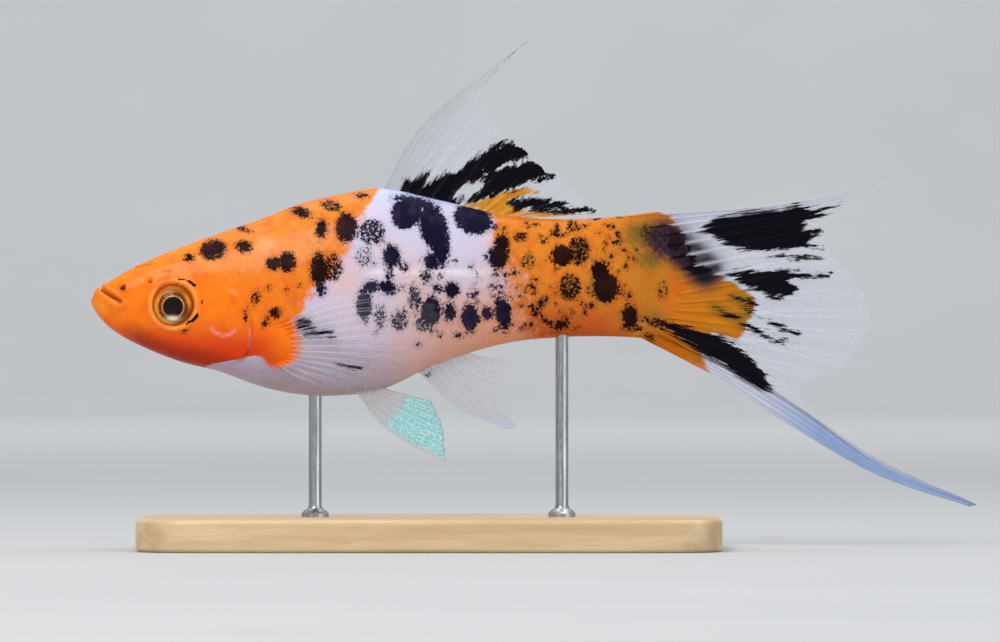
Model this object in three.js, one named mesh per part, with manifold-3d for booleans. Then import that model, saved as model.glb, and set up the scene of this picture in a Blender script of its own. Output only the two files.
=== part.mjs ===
// A swordtail, life size, on a plain display stand. Millimetres, +Z up.
// The fish faces -X and its left side faces -Y. The origin is the middle of the underside of the base.
// Places on the fish are written as [distance behind the snout tip, height above the snout level].

import * as THREE from 'three';
import { mergeVertices } from 'three/addons/utils/BufferGeometryUtils.js';
import Module from 'manifold-3d';

const wasm = await Module();
wasm.setup();

// Where the fish is
const SNOUT_X = -42;
const SNOUT_LEVEL = 30.9;
const BEND_START = 28;
const BEND_REACH = 82;
const BEND_AMOUNT = 4;

// The body: [behind the snout, back, belly, half width]
const [BACK, BELLY, HALF_WIDTH] = [1, 2, 3];
const STATIONS = [
  [0, 0.6, -0.9, 1.3],
  [2.4, 2.4, -3.5, 2.3],
  [6, 4.4, -5.6, 3.2],
  [11, 6.5, -7.6, 4.1],
  [16, 8.3, -8.9, 4.9],
  [21, 10.0, -10.7, 5.5],
  [26, 11.9, -11.7, 5.8],
  [31, 13.1, -11.8, 5.7],
  [36, 13.8, -11.1, 5.4],
  [43, 12.4, -7.9, 4.5],
  [51, 10.6, -5.45, 3.5],
  [58, 10.0, -4.6, 2.7],
  [65, 10.3, -4.5, 1.9],
  [70, 10.9, -4.8, 1.4],
];
const SNOUT_ROUNDING = 1;
const TAIL_ROUNDING = 4.6;
const SNOUT_CAP_RINGS = 4;
const TAIL_CAP_RINGS = 6;
const BODY_RINGS = 36;
const BODY_SIDES = 30;
const CROWN_POWER = 2.5;
const BACK_POWER = 1.9;
const BELLY_POWER = 2.1;
const CROWN_END = 7;
const BACK_START = 26;

// Gaps, the reach and fineness of cuts, and how far fin roots are carried into the body
const GAP = 0.3;
const REACH = 14;
const CUT_PIECES = 18;
const SINK = 1.4;
const PECTORAL_SINK = 0.6;
const MERGE_DISTANCE = 0.0001;

// The eyes
const EYE_CENTRE = [10.4, -0.6];
const EYE_RADIUS = 2.55;
const EYE_HALF_DEPTH = 1.3;
const EYE_OFFSET = 3.45;
const EYE_SIDES = 20;
const EYE_ROWS = 10;

// The mouth, the lips and the nostrils
const MOUTH_LINE = [[-3, 1.5], [0.9, 1.05], [2.6, 0.3], [3.9, -0.35], [4.5, -2.0], [5.0, -4.4], [5.4, -9]];
const UPPER_JAW_LINE = [[1.5, 5], [1.9, 1.7], [3.5, 0.85], [4.4, 0.1], [4.1, -1.1]];
const LIP_RUN = [[3.7, -0.3], [2.5, 0.3], [1.5, 0.75], [0.85, 1.0]];
const LIP_FRONT = [0.6, 1.05];
const LIP_RADIUS = 0.42;
const LIP_INSET = 0.12;
const LIP_SIDES = 6;
const LIP_STEPS = 12;
const LOWER_LIP_SHIFT = [-0.12, -0.55];
const UPPER_LIP_SHIFT = [0.3, 0.5];
const NOSTRILS = [[4.1, 1.5], [7.5, 2.3]];
const NOSTRIL_RADIUS = 0.33;
const NOSTRIL_DEPTH = 0.6;
const NOSTRIL_SIDES = 10;

// The gill covers and the cuts that part the body
const GILL_OUTLINE = [
  [14.6, 0.8], [16.6, 1.9], [18.4, 1.0], [19.6, -1.6], [19.9, -4.4],
  [19.1, -6.9], [17.0, -8.0], [14.0, -7.9], [12.7, -6.2], [13.6, -3.0],
];
const GILL_RISE = 0.22;
const GILL_THICKNESS = 0.7;
const POCKET_RISE = 2;
const GILL_PIECES = 24;
const THROAT_HALF_WIDTH = 0.7;
const HEAD_CUT = [[17.2, 14], [17.6, 5], [19.0, 1.7], [20.2, -1.5], [20.5, -4.5], [20.0, -7.6], [18.8, -14]];
const TRUNK_CUT = [[39.0, 16], [40.4, 2], [40.2, -14]];
const PEDUNCLE_CUT = [[56.6, 14], [57.4, 3], [56.9, -9]];

// The fins: each key ray runs from its root to its tip
const DORSAL_KEYS = [
  [[36.4, 13.8], [41.4, 22.1], [54.1, 32.1]],
  [[37.6, 13.5], [42.9, 21.7], [52.7, 30.8]],
  [[39.0, 13.1], [43.5, 19.8], [48.7, 26.3]],
  [[42.3, 12.4], [46.6, 18.0], [51.0, 22.1]],
  [[46.7, 11.5], [50.5, 15.1], [53.9, 18.7]],
  [[51.1, 10.7], [54.7, 12.8], [58.2, 15.6]],
  [[54.7, 10.2], [59.0, 10.5], [63.5, 10.7]],
];
const TAIL_KEYS = [
  [[69.3, 10.6], [84.2, 11.8], [98.8, 14.8]],
  [[72.0, 9.3], [83.6, 10.7], [94.1, 12.2]],
  [[74.0, 7.1], [83.6, 8.7], [91.4, 9.7]],
  [[75.1, 4.2], [83.9, 5.8], [91.8, 6.4]],
  [[75.5, 1.2], [85.8, 2.7], [94.5, 3.1]],
  [[75.0, -1.4], [86.2, -1.7], [97.1, -1.5]],
  [[73.5, -3.5], [83.6, -5.5], [94.1, -7.7]],
  [[71.5, -4.8], [80.7, -8.9], [88.2, -11.8]],
];
const SWORD_KEYS = [
  [[72.6, -4.3], [80.5, -8.6], [87.5, -12.0], [97.8, -19.4], [110.0, -25.4]],
  [[70.5, -4.6], [78.8, -9.0], [87.4, -13.6], [97.8, -20.6], [110.0, -25.6]],
  [[68.4, -4.8], [77.4, -9.5], [87.2, -15.4], [97.8, -21.6], [110.0, -25.9]],
];
const ANAL_KEYS = [
  [[41.3, -9.6], [45.2, -13.2], [51.4, -16.0]],
  [[42.4, -8.9], [46.5, -12.6], [53.0, -15.8]],
  [[43.8, -7.9], [46.9, -10.9], [50.3, -12.9]],
  [[45.0, -7.0], [47.6, -9.0], [51.1, -9.9]],
  [[46.2, -6.4], [49.2, -7.1], [52.4, -7.4]],
];
const PELVIC_KEYS = [
  [[33.0, -11.4], [36.5, -15.9], [44.0, -20.2]],
  [[34.6, -11.3], [38.5, -14.0], [43.8, -16.3]],
  [[36.3, -11.0], [39.6, -11.9], [42.2, -12.6]],
];
const PECTORAL_KEYS = [
  [[22.6, -3.2], [31.5, 0.4], [41.0, 1.4]],
  [[22.8, -4.4], [32.6, -2.4], [43.6, -1.9]],
  [[23.0, -5.8], [32.7, -5.7], [43.3, -6.6]],
  [[23.2, -7.0], [30.6, -8.2], [38.6, -10.2]],
  [[23.2, -8.0], [25.8, -9.6], [29.2, -11.1]],
];
const TAIL_PARTING = [[71, 5.3], [83, 7.0], [94, 8.4]];
const SWORD_PARTING_DEPTH = 4;

// Thicknesses of the fins and the number of rays
const MEMBRANE = 0.5;
const MEMBRANE_TIP = 0.32;
const RAY_ROOT = 1.0;
const RAY_TIP = 0.4;
const RAY_HALF_WIDTH = 0.2;
const SCALLOP = 0.965;
const DORSAL_RAYS = 13;
const TAIL_RAYS = 17;
const SWORD_RAYS = 4;
const ANAL_RAYS = 8;
const PELVIC_RAYS = 6;
const PECTORAL_RAYS = 12;
const FIN_STEPS = 5;
const SWORD_STEPS = 12;

// How the paired fins stand out from the body
const PELVIC_ROOT_OFFSET = 1.3;
const PELVIC_SPLAY = 2.4;
const PECTORAL_ROOT_DEPTH = 0.9;
const PECTORAL_SPLAY = 3.4;
const PECTORAL_BASE_CENTRE = [22.4, -5.6];
const PECTORAL_BASE_RADII = [1.9, 1.0, 2.7];
const PECTORAL_BASE_SIDES = 14;
const PECTORAL_BASE_ROWS = 10;

// The stand
const BASE_LENGTH = 72;
const BASE_WIDTH = 36;
const BASE_HEIGHT = 4;
const BASE_CORNER = 7;
const BASE_BEVEL = 0.5;
const BASE_CORNER_SEGMENTS = 5;
const BASE_BEVEL_SEGMENTS = 2;
const ROD_RADIUS = 0.8;
const COLLAR_RADIUS = 1.7;
const COLLAR_TOP_RADIUS = 1.2;
const COLLAR_HEIGHT = 1;
const COLLAR_STEP_HEIGHT = 0.6;
const ROD_SIDES = 20;
const ROD_LIFT = 0.05;
const ROD_PLACES = { stand_rod_front: 27.8, stand_rod_rear: 58.4 };

// Colours and finishes
const COLOURS = {
  orange: 0xe8742a,
  deepOrange: 0xd2500f,
  white: 0xd8cfdd,
  clearFin: 0xc9bfd4,
  eye: 0x241d1a,
  wood: 0xcdb08a,
  steel: 0xb4b6b8,
};
const SKIN_FINISH = { roughness: 0.45, metalness: 0 };
const EYE_FINISH = { roughness: 0.1, metalness: 0 };
const WOOD_FINISH = { roughness: 0.6, metalness: 0 };
const STEEL_FINISH = { roughness: 0.3, metalness: 1 };

// Numbers along a list of points, by Hermite curves whose slopes come from the neighbours
function hermite(a, b, slopeA, slopeB, s) {
  const s2 = s * s;
  const s3 = s2 * s;
  return a * (2 * s3 - 3 * s2 + 1) + slopeA * (s3 - 2 * s2 + s) + b * (3 * s2 - 2 * s3) + slopeB * (s3 - s2);
}

function stationValue(t, column) {
  const last = STATIONS.length - 1;
  const at = Math.min(Math.max(t, 0), STATIONS[last][0]);
  let i = 0;
  while (i < last - 1 && at > STATIONS[i + 1][0]) i += 1;
  const slope = (k) => {
    const before = STATIONS[Math.max(k - 1, 0)];
    const after = STATIONS[Math.min(k + 1, last)];
    return (after[column] - before[column]) / (after[0] - before[0]);
  };
  const span = STATIONS[i + 1][0] - STATIONS[i][0];
  const s = (at - STATIONS[i][0]) / span;
  return hermite(STATIONS[i][column], STATIONS[i + 1][column], slope(i) * span, slope(i + 1) * span, s);
}

// A point at v (0 to 1) on the smooth curve through a list of points
function along(points, v) {
  const last = points.length - 1;
  const place = Math.min(Math.max(v, 0), 1) * last;
  const i = Math.min(Math.floor(place), last - 1);
  const slope = (k, axis) => {
    const before = Math.max(k - 1, 0);
    const after = Math.min(k + 1, last);
    return (points[after][axis] - points[before][axis]) / (after - before);
  };
  return points[0].map((_, axis) => hermite(
    points[i][axis], points[i + 1][axis], slope(i, axis), slope(i + 1, axis), place - i,
  ));
}

// The body's cross section
function smoothStep(value, from, to) {
  const s = Math.min(Math.max((value - from) / (to - from), 0), 1);
  return s * s * (3 - 2 * s);
}

function section(t) {
  const back = stationValue(t, BACK);
  const belly = stationValue(t, BELLY);
  const middle = (back + belly) / 2;
  const upperPower = CROWN_POWER + (BACK_POWER - CROWN_POWER) * smoothStep(t, CROWN_END, BACK_START);
  return { middle, up: back - middle, down: middle - belly, wide: stationValue(t, HALF_WIDTH), upperPower };
}

function surfaceOffset(t, height, grow = 0) {
  const { middle, up, down, wide, upperPower } = section(t);
  const above = height > middle;
  const power = above ? upperPower : BELLY_POWER;
  const share = Math.min(Math.abs(height - middle) / ((above ? up : down) + grow), 1);
  return (wide + grow) * (1 - share ** power) ** (1 / power);
}

function bendAt(t) {
  const past = Math.max(t - BEND_START, 0) / BEND_REACH;
  return BEND_AMOUNT * past * past;
}

// Solids: a closed geometry with merged corners becomes a solid that can be cut and joined
function solid(geometry) {
  const bare = geometry.index ? geometry.toNonIndexed() : geometry.clone();
  bare.deleteAttribute('normal');
  bare.deleteAttribute('uv');
  const merged = mergeVertices(bare, MERGE_DISTANCE);
  const corners = merged.index.array;
  const places = merged.attributes.position;
  const point = (i) => new THREE.Vector3().fromBufferAttribute(places, corners[i]);
  const kept = [];
  let volume = 0;
  for (let i = 0; i < corners.length; i += 3) {
    const [a, b, c] = [corners[i], corners[i + 1], corners[i + 2]];
    if (a !== b && b !== c && c !== a) kept.push([a, b, c]);
    volume += point(i).dot(point(i + 1).cross(point(i + 2)));
  }
  const facing = volume > 0 ? kept : kept.map(([a, b, c]) => [a, c, b]);
  return new wasm.Manifold(new wasm.Mesh({
    numProp: 3,
    vertProperties: new Float32Array(places.array),
    triVerts: new Uint32Array(facing.flat()),
  }));
}

function largest(shape) {
  return shape.decompose().sort((a, b) => b.volume() - a.volume())[0];
}

function fromTriangles(points, triangles) {
  const geometry = new THREE.BufferGeometry();
  geometry.setAttribute('position', new THREE.Float32BufferAttribute(points.flat(), 3));
  geometry.setIndex(triangles.flat());
  return geometry;
}

// The whole body as one loft, grown outwards by an amount
function bodySolid(grow) {
  const rings = [];
  for (let i = 1; i <= SNOUT_CAP_RINGS; i += 1) {
    const turn = (i / SNOUT_CAP_RINGS) * Math.PI / 2;
    rings.push({ t: SNOUT_ROUNDING * (1 - Math.cos(turn)), size: Math.sin(turn), push: -Math.cos(turn) });
  }
  const bodyEnd = STATIONS[STATIONS.length - 1][0];
  for (let i = 1; i <= BODY_RINGS; i += 1) {
    const t = SNOUT_ROUNDING + (bodyEnd - SNOUT_ROUNDING) * i / BODY_RINGS;
    rings.push({ t, size: 1, push: 0 });
  }
  for (let i = 1; i < TAIL_CAP_RINGS; i += 1) {
    const turn = (i / TAIL_CAP_RINGS) * Math.PI / 2;
    rings.push({ t: bodyEnd + TAIL_ROUNDING * Math.sin(turn), size: Math.cos(turn), push: Math.sin(turn) });
  }
  const points = [];
  for (const { t, size, push } of rings) {
    const { middle, up, down, wide, upperPower } = section(t);
    for (let k = 0; k < BODY_SIDES; k += 1) {
      const turn = (k / BODY_SIDES) * 2 * Math.PI;
      const [across, rise] = [Math.cos(turn), Math.sin(turn)];
      const power = rise > 0 ? upperPower : BELLY_POWER;
      const y = (wide + grow) * size * Math.sign(across) * Math.abs(across) ** (2 / power);
      const reach = (rise > 0 ? up : down) + grow;
      const z = middle + reach * size * Math.sign(rise) * Math.abs(rise) ** (2 / power);
      points.push([t + grow * push, y, z]);
    }
  }
  const front = points.push([-grow, 0, section(0).middle]) - 1;
  const rear = points.push([bodyEnd + TAIL_ROUNDING + grow, 0, section(bodyEnd).middle]) - 1;
  const triangles = [];
  const lastRing = (rings.length - 1) * BODY_SIDES;
  for (let k = 0; k < BODY_SIDES; k += 1) {
    const next = (k + 1) % BODY_SIDES;
    triangles.push([front, next, k], [rear, lastRing + k, lastRing + next]);
    for (let start = 0; start < lastRing; start += BODY_SIDES) {
      const after = start + BODY_SIDES;
      triangles.push([start + k, start + next, after + next], [start + k, after + next, after + k]);
    }
  }
  return solid(fromTriangles(points, triangles));
}

// Cutters that run right across the fish
function acrossFish(outline, from = -REACH, to = REACH) {
  const shape = new THREE.Shape(outline.map(([t, height]) => new THREE.Vector2(t, height)));
  const geometry = new THREE.ExtrudeGeometry(shape, { depth: to - from, bevelEnabled: false });
  geometry.translate(0, 0, -to);
  geometry.rotateX(Math.PI / 2);
  return solid(geometry);
}

function smoothRun(points, pieces) {
  return Array.from({ length: pieces + 1 }, (_, i) => along(points, i / pieces));
}

function band(run, low, high) {
  const edge = (amount) => run.map(([t, height], i) => {
    const [beforeT, beforeH] = run[Math.max(i - 1, 0)];
    const [afterT, afterH] = run[Math.min(i + 1, run.length - 1)];
    const length = Math.hypot(afterT - beforeT, afterH - beforeH);
    return [t - amount * (afterH - beforeH) / length, height + amount * (afterT - beforeT) / length];
  });
  return acrossFish([...edge(low), ...edge(high).reverse()]);
}

function thinCut(points) {
  return band(smoothRun(points, CUT_PIECES), -GAP / 2, GAP / 2);
}

function frontToBack(shape) {
  const pieces = shape.decompose().sort((a, b) => b.volume() - a.volume());
  return (count) => pieces.slice(0, count).sort((a, b) => a.boundingBox().min[0] - b.boundingBox().min[0]);
}

// The eyes and the sockets that hold them
function eyeball(side, grow) {
  const ball = new THREE.SphereGeometry(1, EYE_SIDES, EYE_ROWS);
  ball.scale(EYE_RADIUS + grow, EYE_HALF_DEPTH + grow, EYE_RADIUS + grow);
  ball.translate(EYE_CENTRE[0], side * EYE_OFFSET, EYE_CENTRE[1]);
  return solid(ball);
}

function nostril([t, height], side) {
  const pit = new THREE.CylinderGeometry(NOSTRIL_RADIUS, NOSTRIL_RADIUS, 2 * NOSTRIL_DEPTH, NOSTRIL_SIDES);
  pit.translate(t, side * surfaceOffset(t, height), height);
  return solid(pit);
}

// A lip is a roll that follows the mouth round the snout
function lip([shiftT, shiftH]) {
  const left = LIP_RUN.map(([t, height]) => {
    const y = surfaceOffset(t + shiftT, height + shiftH) - LIP_INSET;
    return new THREE.Vector3(t + shiftT, -y, height + shiftH);
  });
  const right = left.map((place) => new THREE.Vector3(place.x, -place.y, place.z)).reverse();
  const middle = new THREE.Vector3(LIP_FRONT[0] + shiftT, 0, LIP_FRONT[1] + shiftH);
  const path = new THREE.CatmullRomCurve3([...left, middle, ...right]);
  const rim = Array.from({ length: LIP_SIDES }, (_, k) => {
    const turn = (k / LIP_SIDES) * 2 * Math.PI;
    return new THREE.Vector2(LIP_RADIUS * Math.cos(turn), LIP_RADIUS * Math.sin(turn));
  });
  return solid(new THREE.ExtrudeGeometry(new THREE.Shape(rim), { steps: LIP_STEPS, extrudePath: path }));
}

// A gill cover is a plate that stands a little proud of the head
function closedOutline(points, pieces, grow) {
  const curve = new THREE.CatmullRomCurve3(points.map(([t, h]) => new THREE.Vector3(t, h, 0)), true);
  return curve.getPoints(pieces).slice(0, pieces).map((place, i) => {
    const tangent = curve.getTangent(i / pieces);
    return [place.x - grow * tangent.y, place.y + grow * tangent.x];
  });
}

function gillCover(side, outer, inner) {
  const outline = closedOutline(GILL_OUTLINE, GILL_PIECES, 0);
  const [from, to] = side > 0 ? [THROAT_HALF_WIDTH, REACH] : [-REACH, -THROAT_HALF_WIDTH];
  return largest(outer.intersect(acrossFish(outline, from, to)).subtract(inner));
}

// A key ray with its root carried on into the body
function sunkRay([root, second, ...rest], sink) {
  const length = Math.hypot(second[0] - root[0], second[1] - root[1]);
  const start = root.map((value, axis) => value - sink * (second[axis] - value) / length);
  return [start, root, second, ...rest];
}

// A fin is a membrane with its rays raised in its own surface, both faces split alike
function finSolid(keys, rays, { steps = FIN_STEPS, offset = () => 0, sink = SINK } = {}) {
  const sunk = keys.map((key) => sunkRay(key, sink));
  const columns = [];
  for (let ray = 0; ray < rays; ray += 1) {
    for (const shift of [-RAY_HALF_WIDTH, 0, RAY_HALF_WIDTH]) {
      const place = (ray + shift) / (rays - 1);
      if (place >= 0 && place <= 1) columns.push({ place, crest: shift === 0 });
    }
  }
  const points = [[], []];
  for (const { place, crest } of columns) {
    const ray = sunk[0].map((_, i) => along(sunk.map((key) => key[i]), place));
    for (let step = 0; step <= steps; step += 1) {
      const v = (step / steps) * (crest ? 1 : SCALLOP);
      const [root, tip] = crest ? [RAY_ROOT, RAY_TIP] : [MEMBRANE, MEMBRANE_TIP];
      const half = (root + (tip - root) * v) / 2;
      const [t, height] = along(ray, v);
      const y = offset(t, height, v, place);
      points[0].push([t, y - half, height]);
      points[1].push([t, y + half, height]);
    }
  }
  const far = points[0].length;
  const row = steps + 1;
  const last = columns.length - 1;
  const quads = [];
  for (let c = 0; c < last; c += 1) {
    for (let step = 0; step < steps; step += 1) {
      const [a, b] = [c * row + step, (c + 1) * row + step];
      quads.push([a, a + 1, b + 1, b], [far + b, far + b + 1, far + a + 1, far + a]);
    }
    const [a, b] = [c * row, (c + 1) * row];
    quads.push([a, b, far + b, far + a], [b + steps, a + steps, far + a + steps, far + b + steps]);
  }
  for (let step = 0; step < steps; step += 1) {
    const end = last * row + step;
    quads.push([step, far + step, far + step + 1, step + 1], [end, end + 1, far + end + 1, far + end]);
  }
  const triangles = quads.flatMap(([a, b, c, d]) => (
    a >= far && b >= far && c >= far && d >= far ? [[b, c, d], [b, d, a]] : [[a, b, c], [a, c, d]]
  ));
  return solid(fromTriangles([...points[0], ...points[1]], triangles));
}

// The pectoral fins swing out from the flanks, on a fleshy base
function pectoralFin(side) {
  const offset = (t, height, v, place) => {
    const root = along(PECTORAL_KEYS.map((key) => key[0]), place);
    const rootOffset = surfaceOffset(root[0], root[1]) - PECTORAL_ROOT_DEPTH;
    return side * (rootOffset + PECTORAL_SPLAY * (1 - (1 - v) ** 2));
  };
  const lobe = new THREE.SphereGeometry(1, PECTORAL_BASE_SIDES, PECTORAL_BASE_ROWS);
  lobe.scale(...PECTORAL_BASE_RADII);
  lobe.translate(PECTORAL_BASE_CENTRE[0], side * surfaceOffset(...PECTORAL_BASE_CENTRE), PECTORAL_BASE_CENTRE[1]);
  return finSolid(PECTORAL_KEYS, PECTORAL_RAYS, { offset, sink: PECTORAL_SINK }).add(solid(lobe));
}

// The pelvic fins stand below the belly and spread towards their tips
function pelvicFin(side) {
  const offset = (t, height, v) => side * (PELVIC_ROOT_OFFSET + PELVIC_SPLAY * v);
  return finSolid(PELVIC_KEYS, PELVIC_RAYS, { offset });
}

// The stand
function standBase() {
  const [halfLength, halfWidth] = [BASE_LENGTH / 2 - BASE_BEVEL, BASE_WIDTH / 2 - BASE_BEVEL];
  const corner = BASE_CORNER - BASE_BEVEL;
  const outline = new THREE.Shape();
  const corners = [[1, 1, 0], [-1, 1, 1], [-1, -1, 2], [1, -1, 3]];
  for (const [x, y, quarter] of corners) {
    const centre = [x * (halfLength - corner), y * (halfWidth - corner)];
    outline.absarc(...centre, corner, quarter * Math.PI / 2, (quarter + 1) * Math.PI / 2, false);
  }
  const geometry = new THREE.ExtrudeGeometry(outline, {
    depth: BASE_HEIGHT - 2 * BASE_BEVEL,
    curveSegments: BASE_CORNER_SEGMENTS,
    bevelSize: BASE_BEVEL,
    bevelThickness: BASE_BEVEL,
    bevelSegments: BASE_BEVEL_SEGMENTS,
  });
  geometry.translate(0, 0, BASE_BEVEL);
  return solid(geometry);
}

function standRod(t, grownBody) {
  const foot = BASE_HEIGHT + ROD_LIFT - SNOUT_LEVEL;
  const profile = [
    [0, foot], [COLLAR_RADIUS, foot], [COLLAR_RADIUS, foot + COLLAR_STEP_HEIGHT],
    [COLLAR_TOP_RADIUS, foot + COLLAR_HEIGHT], [ROD_RADIUS, foot + COLLAR_HEIGHT],
    [ROD_RADIUS, 0], [0, 0],
  ].map(([radius, height]) => new THREE.Vector2(radius, height));
  const rod = new THREE.LatheGeometry(profile, ROD_SIDES);
  rod.rotateX(Math.PI / 2);
  rod.translate(t, 0, 0);
  return largest(solid(rod).subtract(grownBody));
}

// Everything is made straight, then bent gently to the side and set at its place above the base
function toMesh(name, shape, colour, { finish = SKIN_FINISH, bent = true, atBase = false } = {}) {
  const { vertProperties, triVerts } = shape.getMesh();
  const places = new Float32Array(vertProperties);
  if (bent) {
    for (let i = 0; i < places.length; i += 3) places[i + 1] += bendAt(places[i]);
  }
  const geometry = new THREE.BufferGeometry();
  geometry.setAttribute('position', new THREE.BufferAttribute(places, 3));
  geometry.setIndex(Array.from(triVerts));
  geometry.computeVertexNormals();
  const mesh = new THREE.Mesh(geometry, new THREE.MeshStandardMaterial({ color: colour, ...finish }));
  mesh.name = name;
  if (!atBase) mesh.position.set(SNOUT_X, 0, SNOUT_LEVEL);
  return mesh;
}

const part = new THREE.Group();
const body = bodySolid(0);
const clearOfBody = bodySolid(GAP);

// Head and trunk
const [wholeHead, trunkFront, trunkRear, tailBase] = frontToBack(
  body.subtract(thinCut(HEAD_CUT)).subtract(thinCut(TRUNK_CUT)).subtract(thinCut(PEDUNCLE_CUT)),
)(4);
part.add(toMesh('trunk_front', trunkFront, COLOURS.white));
part.add(toMesh('trunk_rear', trunkRear, COLOURS.orange));
part.add(toMesh('tail_base', tailBase, COLOURS.orange));

// Head, jaws, eyes and gill covers
const mouthCut = thinCut(MOUTH_LINE);
const lips = {
  lower: lip(LOWER_LIP_SHIFT).subtract(mouthCut),
  upper: lip(UPPER_LIP_SHIFT).subtract(mouthCut),
};
const headPieces = wholeHead.subtract(mouthCut).subtract(thinCut(UPPER_JAW_LINE)).decompose();
const [skull, lowerJaw, upperJaw] = headPieces.sort((a, b) => b.volume() - a.volume());
const pocketOuter = bodySolid(POCKET_RISE);
const pocketInner = bodySolid(-GILL_THICKNESS - GAP);
const coverOuter = bodySolid(GILL_RISE);
const coverInner = bodySolid(-GILL_THICKNESS);
const pocketOutline = acrossFish(closedOutline(GILL_OUTLINE, GILL_PIECES, GAP));
let head = skull.subtract(pocketOuter.intersect(pocketOutline).subtract(pocketInner));
for (const [sideName, side] of [['left', -1], ['right', 1]]) {
  head = head.subtract(eyeball(side, GAP));
  for (const place of NOSTRILS) head = head.subtract(nostril(place, side));
  part.add(toMesh(`eye_${sideName}`, eyeball(side, 0), COLOURS.eye, { finish: EYE_FINISH }));
  part.add(toMesh(`gill_cover_${sideName}`, gillCover(side, coverOuter, coverInner), COLOURS.orange));
}
part.add(toMesh('head', largest(head), COLOURS.orange));
part.add(toMesh('lower_jaw', largest(lowerJaw.add(lips.lower)), COLOURS.orange));
part.add(toMesh('upper_jaw', largest(upperJaw.add(lips.upper)), COLOURS.orange));

// Fins on the middle line
const swordTop = smoothRun(sunkRay(SWORD_KEYS[0], SINK), SWORD_STEPS);
const tail = finSolid(TAIL_KEYS, TAIL_RAYS).subtract(clearOfBody).subtract(band(swordTop, -SWORD_PARTING_DEPTH, GAP));
const tailPieces = tail.subtract(thinCut(TAIL_PARTING)).decompose().sort((a, b) => b.volume() - a.volume());
const [tailUpper, tailMiddle] = tailPieces.slice(0, 2)
  .sort((a, b) => b.boundingBox().max[2] - a.boundingBox().max[2]);
const sword = largest(finSolid(SWORD_KEYS, SWORD_RAYS, { steps: SWORD_STEPS }).subtract(clearOfBody));
part.add(toMesh('dorsal_fin', largest(finSolid(DORSAL_KEYS, DORSAL_RAYS).subtract(clearOfBody)), COLOURS.clearFin));
part.add(toMesh('tail_fin_upper', tailUpper, COLOURS.clearFin));
part.add(toMesh('tail_fin_middle', tailMiddle, COLOURS.orange));
part.add(toMesh('tail_fin_sword', sword, COLOURS.clearFin));
part.add(toMesh('anal_fin', largest(finSolid(ANAL_KEYS, ANAL_RAYS).subtract(clearOfBody)), COLOURS.clearFin));

// Paired fins
for (const [sideName, side] of [['left', -1], ['right', 1]]) {
  const pelvic = largest(pelvicFin(side).subtract(clearOfBody));
  const pectoral = largest(pectoralFin(side).subtract(clearOfBody));
  part.add(toMesh(`pelvic_fin_${sideName}`, pelvic, COLOURS.clearFin));
  part.add(toMesh(`pectoral_fin_${sideName}`, pectoral, COLOURS.deepOrange));
}

// Stand
part.add(toMesh('stand_base', standBase(), COLOURS.wood, { finish: WOOD_FINISH, bent: false, atBase: true }));
for (const [name, t] of Object.entries(ROD_PLACES)) {
  const mesh = toMesh(name, standRod(t, clearOfBody), COLOURS.steel, { finish: STEEL_FINISH, bent: false });
  mesh.position.y = bendAt(t);
  part.add(mesh);
}

export default part;
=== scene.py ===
"""A swordtail on a display stand: skin, scales, eyes, fins and stand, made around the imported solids.

Places on the fish are distances behind the snout tip and heights above the snout level, in millimetres.
"""

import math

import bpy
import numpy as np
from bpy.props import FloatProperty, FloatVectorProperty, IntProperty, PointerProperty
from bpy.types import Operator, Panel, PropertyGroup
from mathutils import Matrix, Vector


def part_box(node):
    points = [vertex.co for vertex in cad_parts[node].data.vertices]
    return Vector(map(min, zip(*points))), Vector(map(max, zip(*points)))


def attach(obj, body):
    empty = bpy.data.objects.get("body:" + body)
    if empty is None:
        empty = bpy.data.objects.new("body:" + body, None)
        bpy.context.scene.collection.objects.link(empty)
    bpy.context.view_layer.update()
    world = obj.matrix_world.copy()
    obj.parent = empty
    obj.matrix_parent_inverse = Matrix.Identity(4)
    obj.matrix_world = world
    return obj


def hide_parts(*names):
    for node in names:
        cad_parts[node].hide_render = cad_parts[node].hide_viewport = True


bl_info = {
    "name": "Swordtail on a stand",
    "version": (1, 0, 0),
    "blender": (4, 5, 0),
    "location": "View3D > Sidebar > Swordtail",
    "description": "Builds a life-size swordtail fish on a display stand",
    "category": "Object",
}

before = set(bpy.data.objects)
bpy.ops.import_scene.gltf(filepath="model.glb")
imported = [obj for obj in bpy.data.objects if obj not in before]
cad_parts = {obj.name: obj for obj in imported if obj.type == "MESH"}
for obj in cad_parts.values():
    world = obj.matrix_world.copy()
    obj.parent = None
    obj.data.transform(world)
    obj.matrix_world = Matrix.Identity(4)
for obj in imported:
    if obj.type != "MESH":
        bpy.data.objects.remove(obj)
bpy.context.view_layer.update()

MM = 0.001
BODY = "root"

# Where the fish is, as in the solids
SNOUT_X = -42.0
SNOUT_LEVEL = 30.9
BEND_START = 28.0
BEND_REACH = 82.0
BEND_AMOUNT = 4.0

# The photograph: the size of a pixel on the fish, and the snout tip in it
PIXEL = 0.124
SNOUT_PIXEL = (91.0, 300.0)
PHOTO_WIDTH = 1000
PHOTO_CENTRE = (500.0, 321.0)
LENS = 300
SENSOR = 36

# The floor and the wall behind it, which meet in a sweep
FLOOR_SIZE = (4.4, 3.6)
FLOOR_BACK = 0.3
WALL_HEIGHT = 1.6
SWEEP = 0.6

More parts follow.
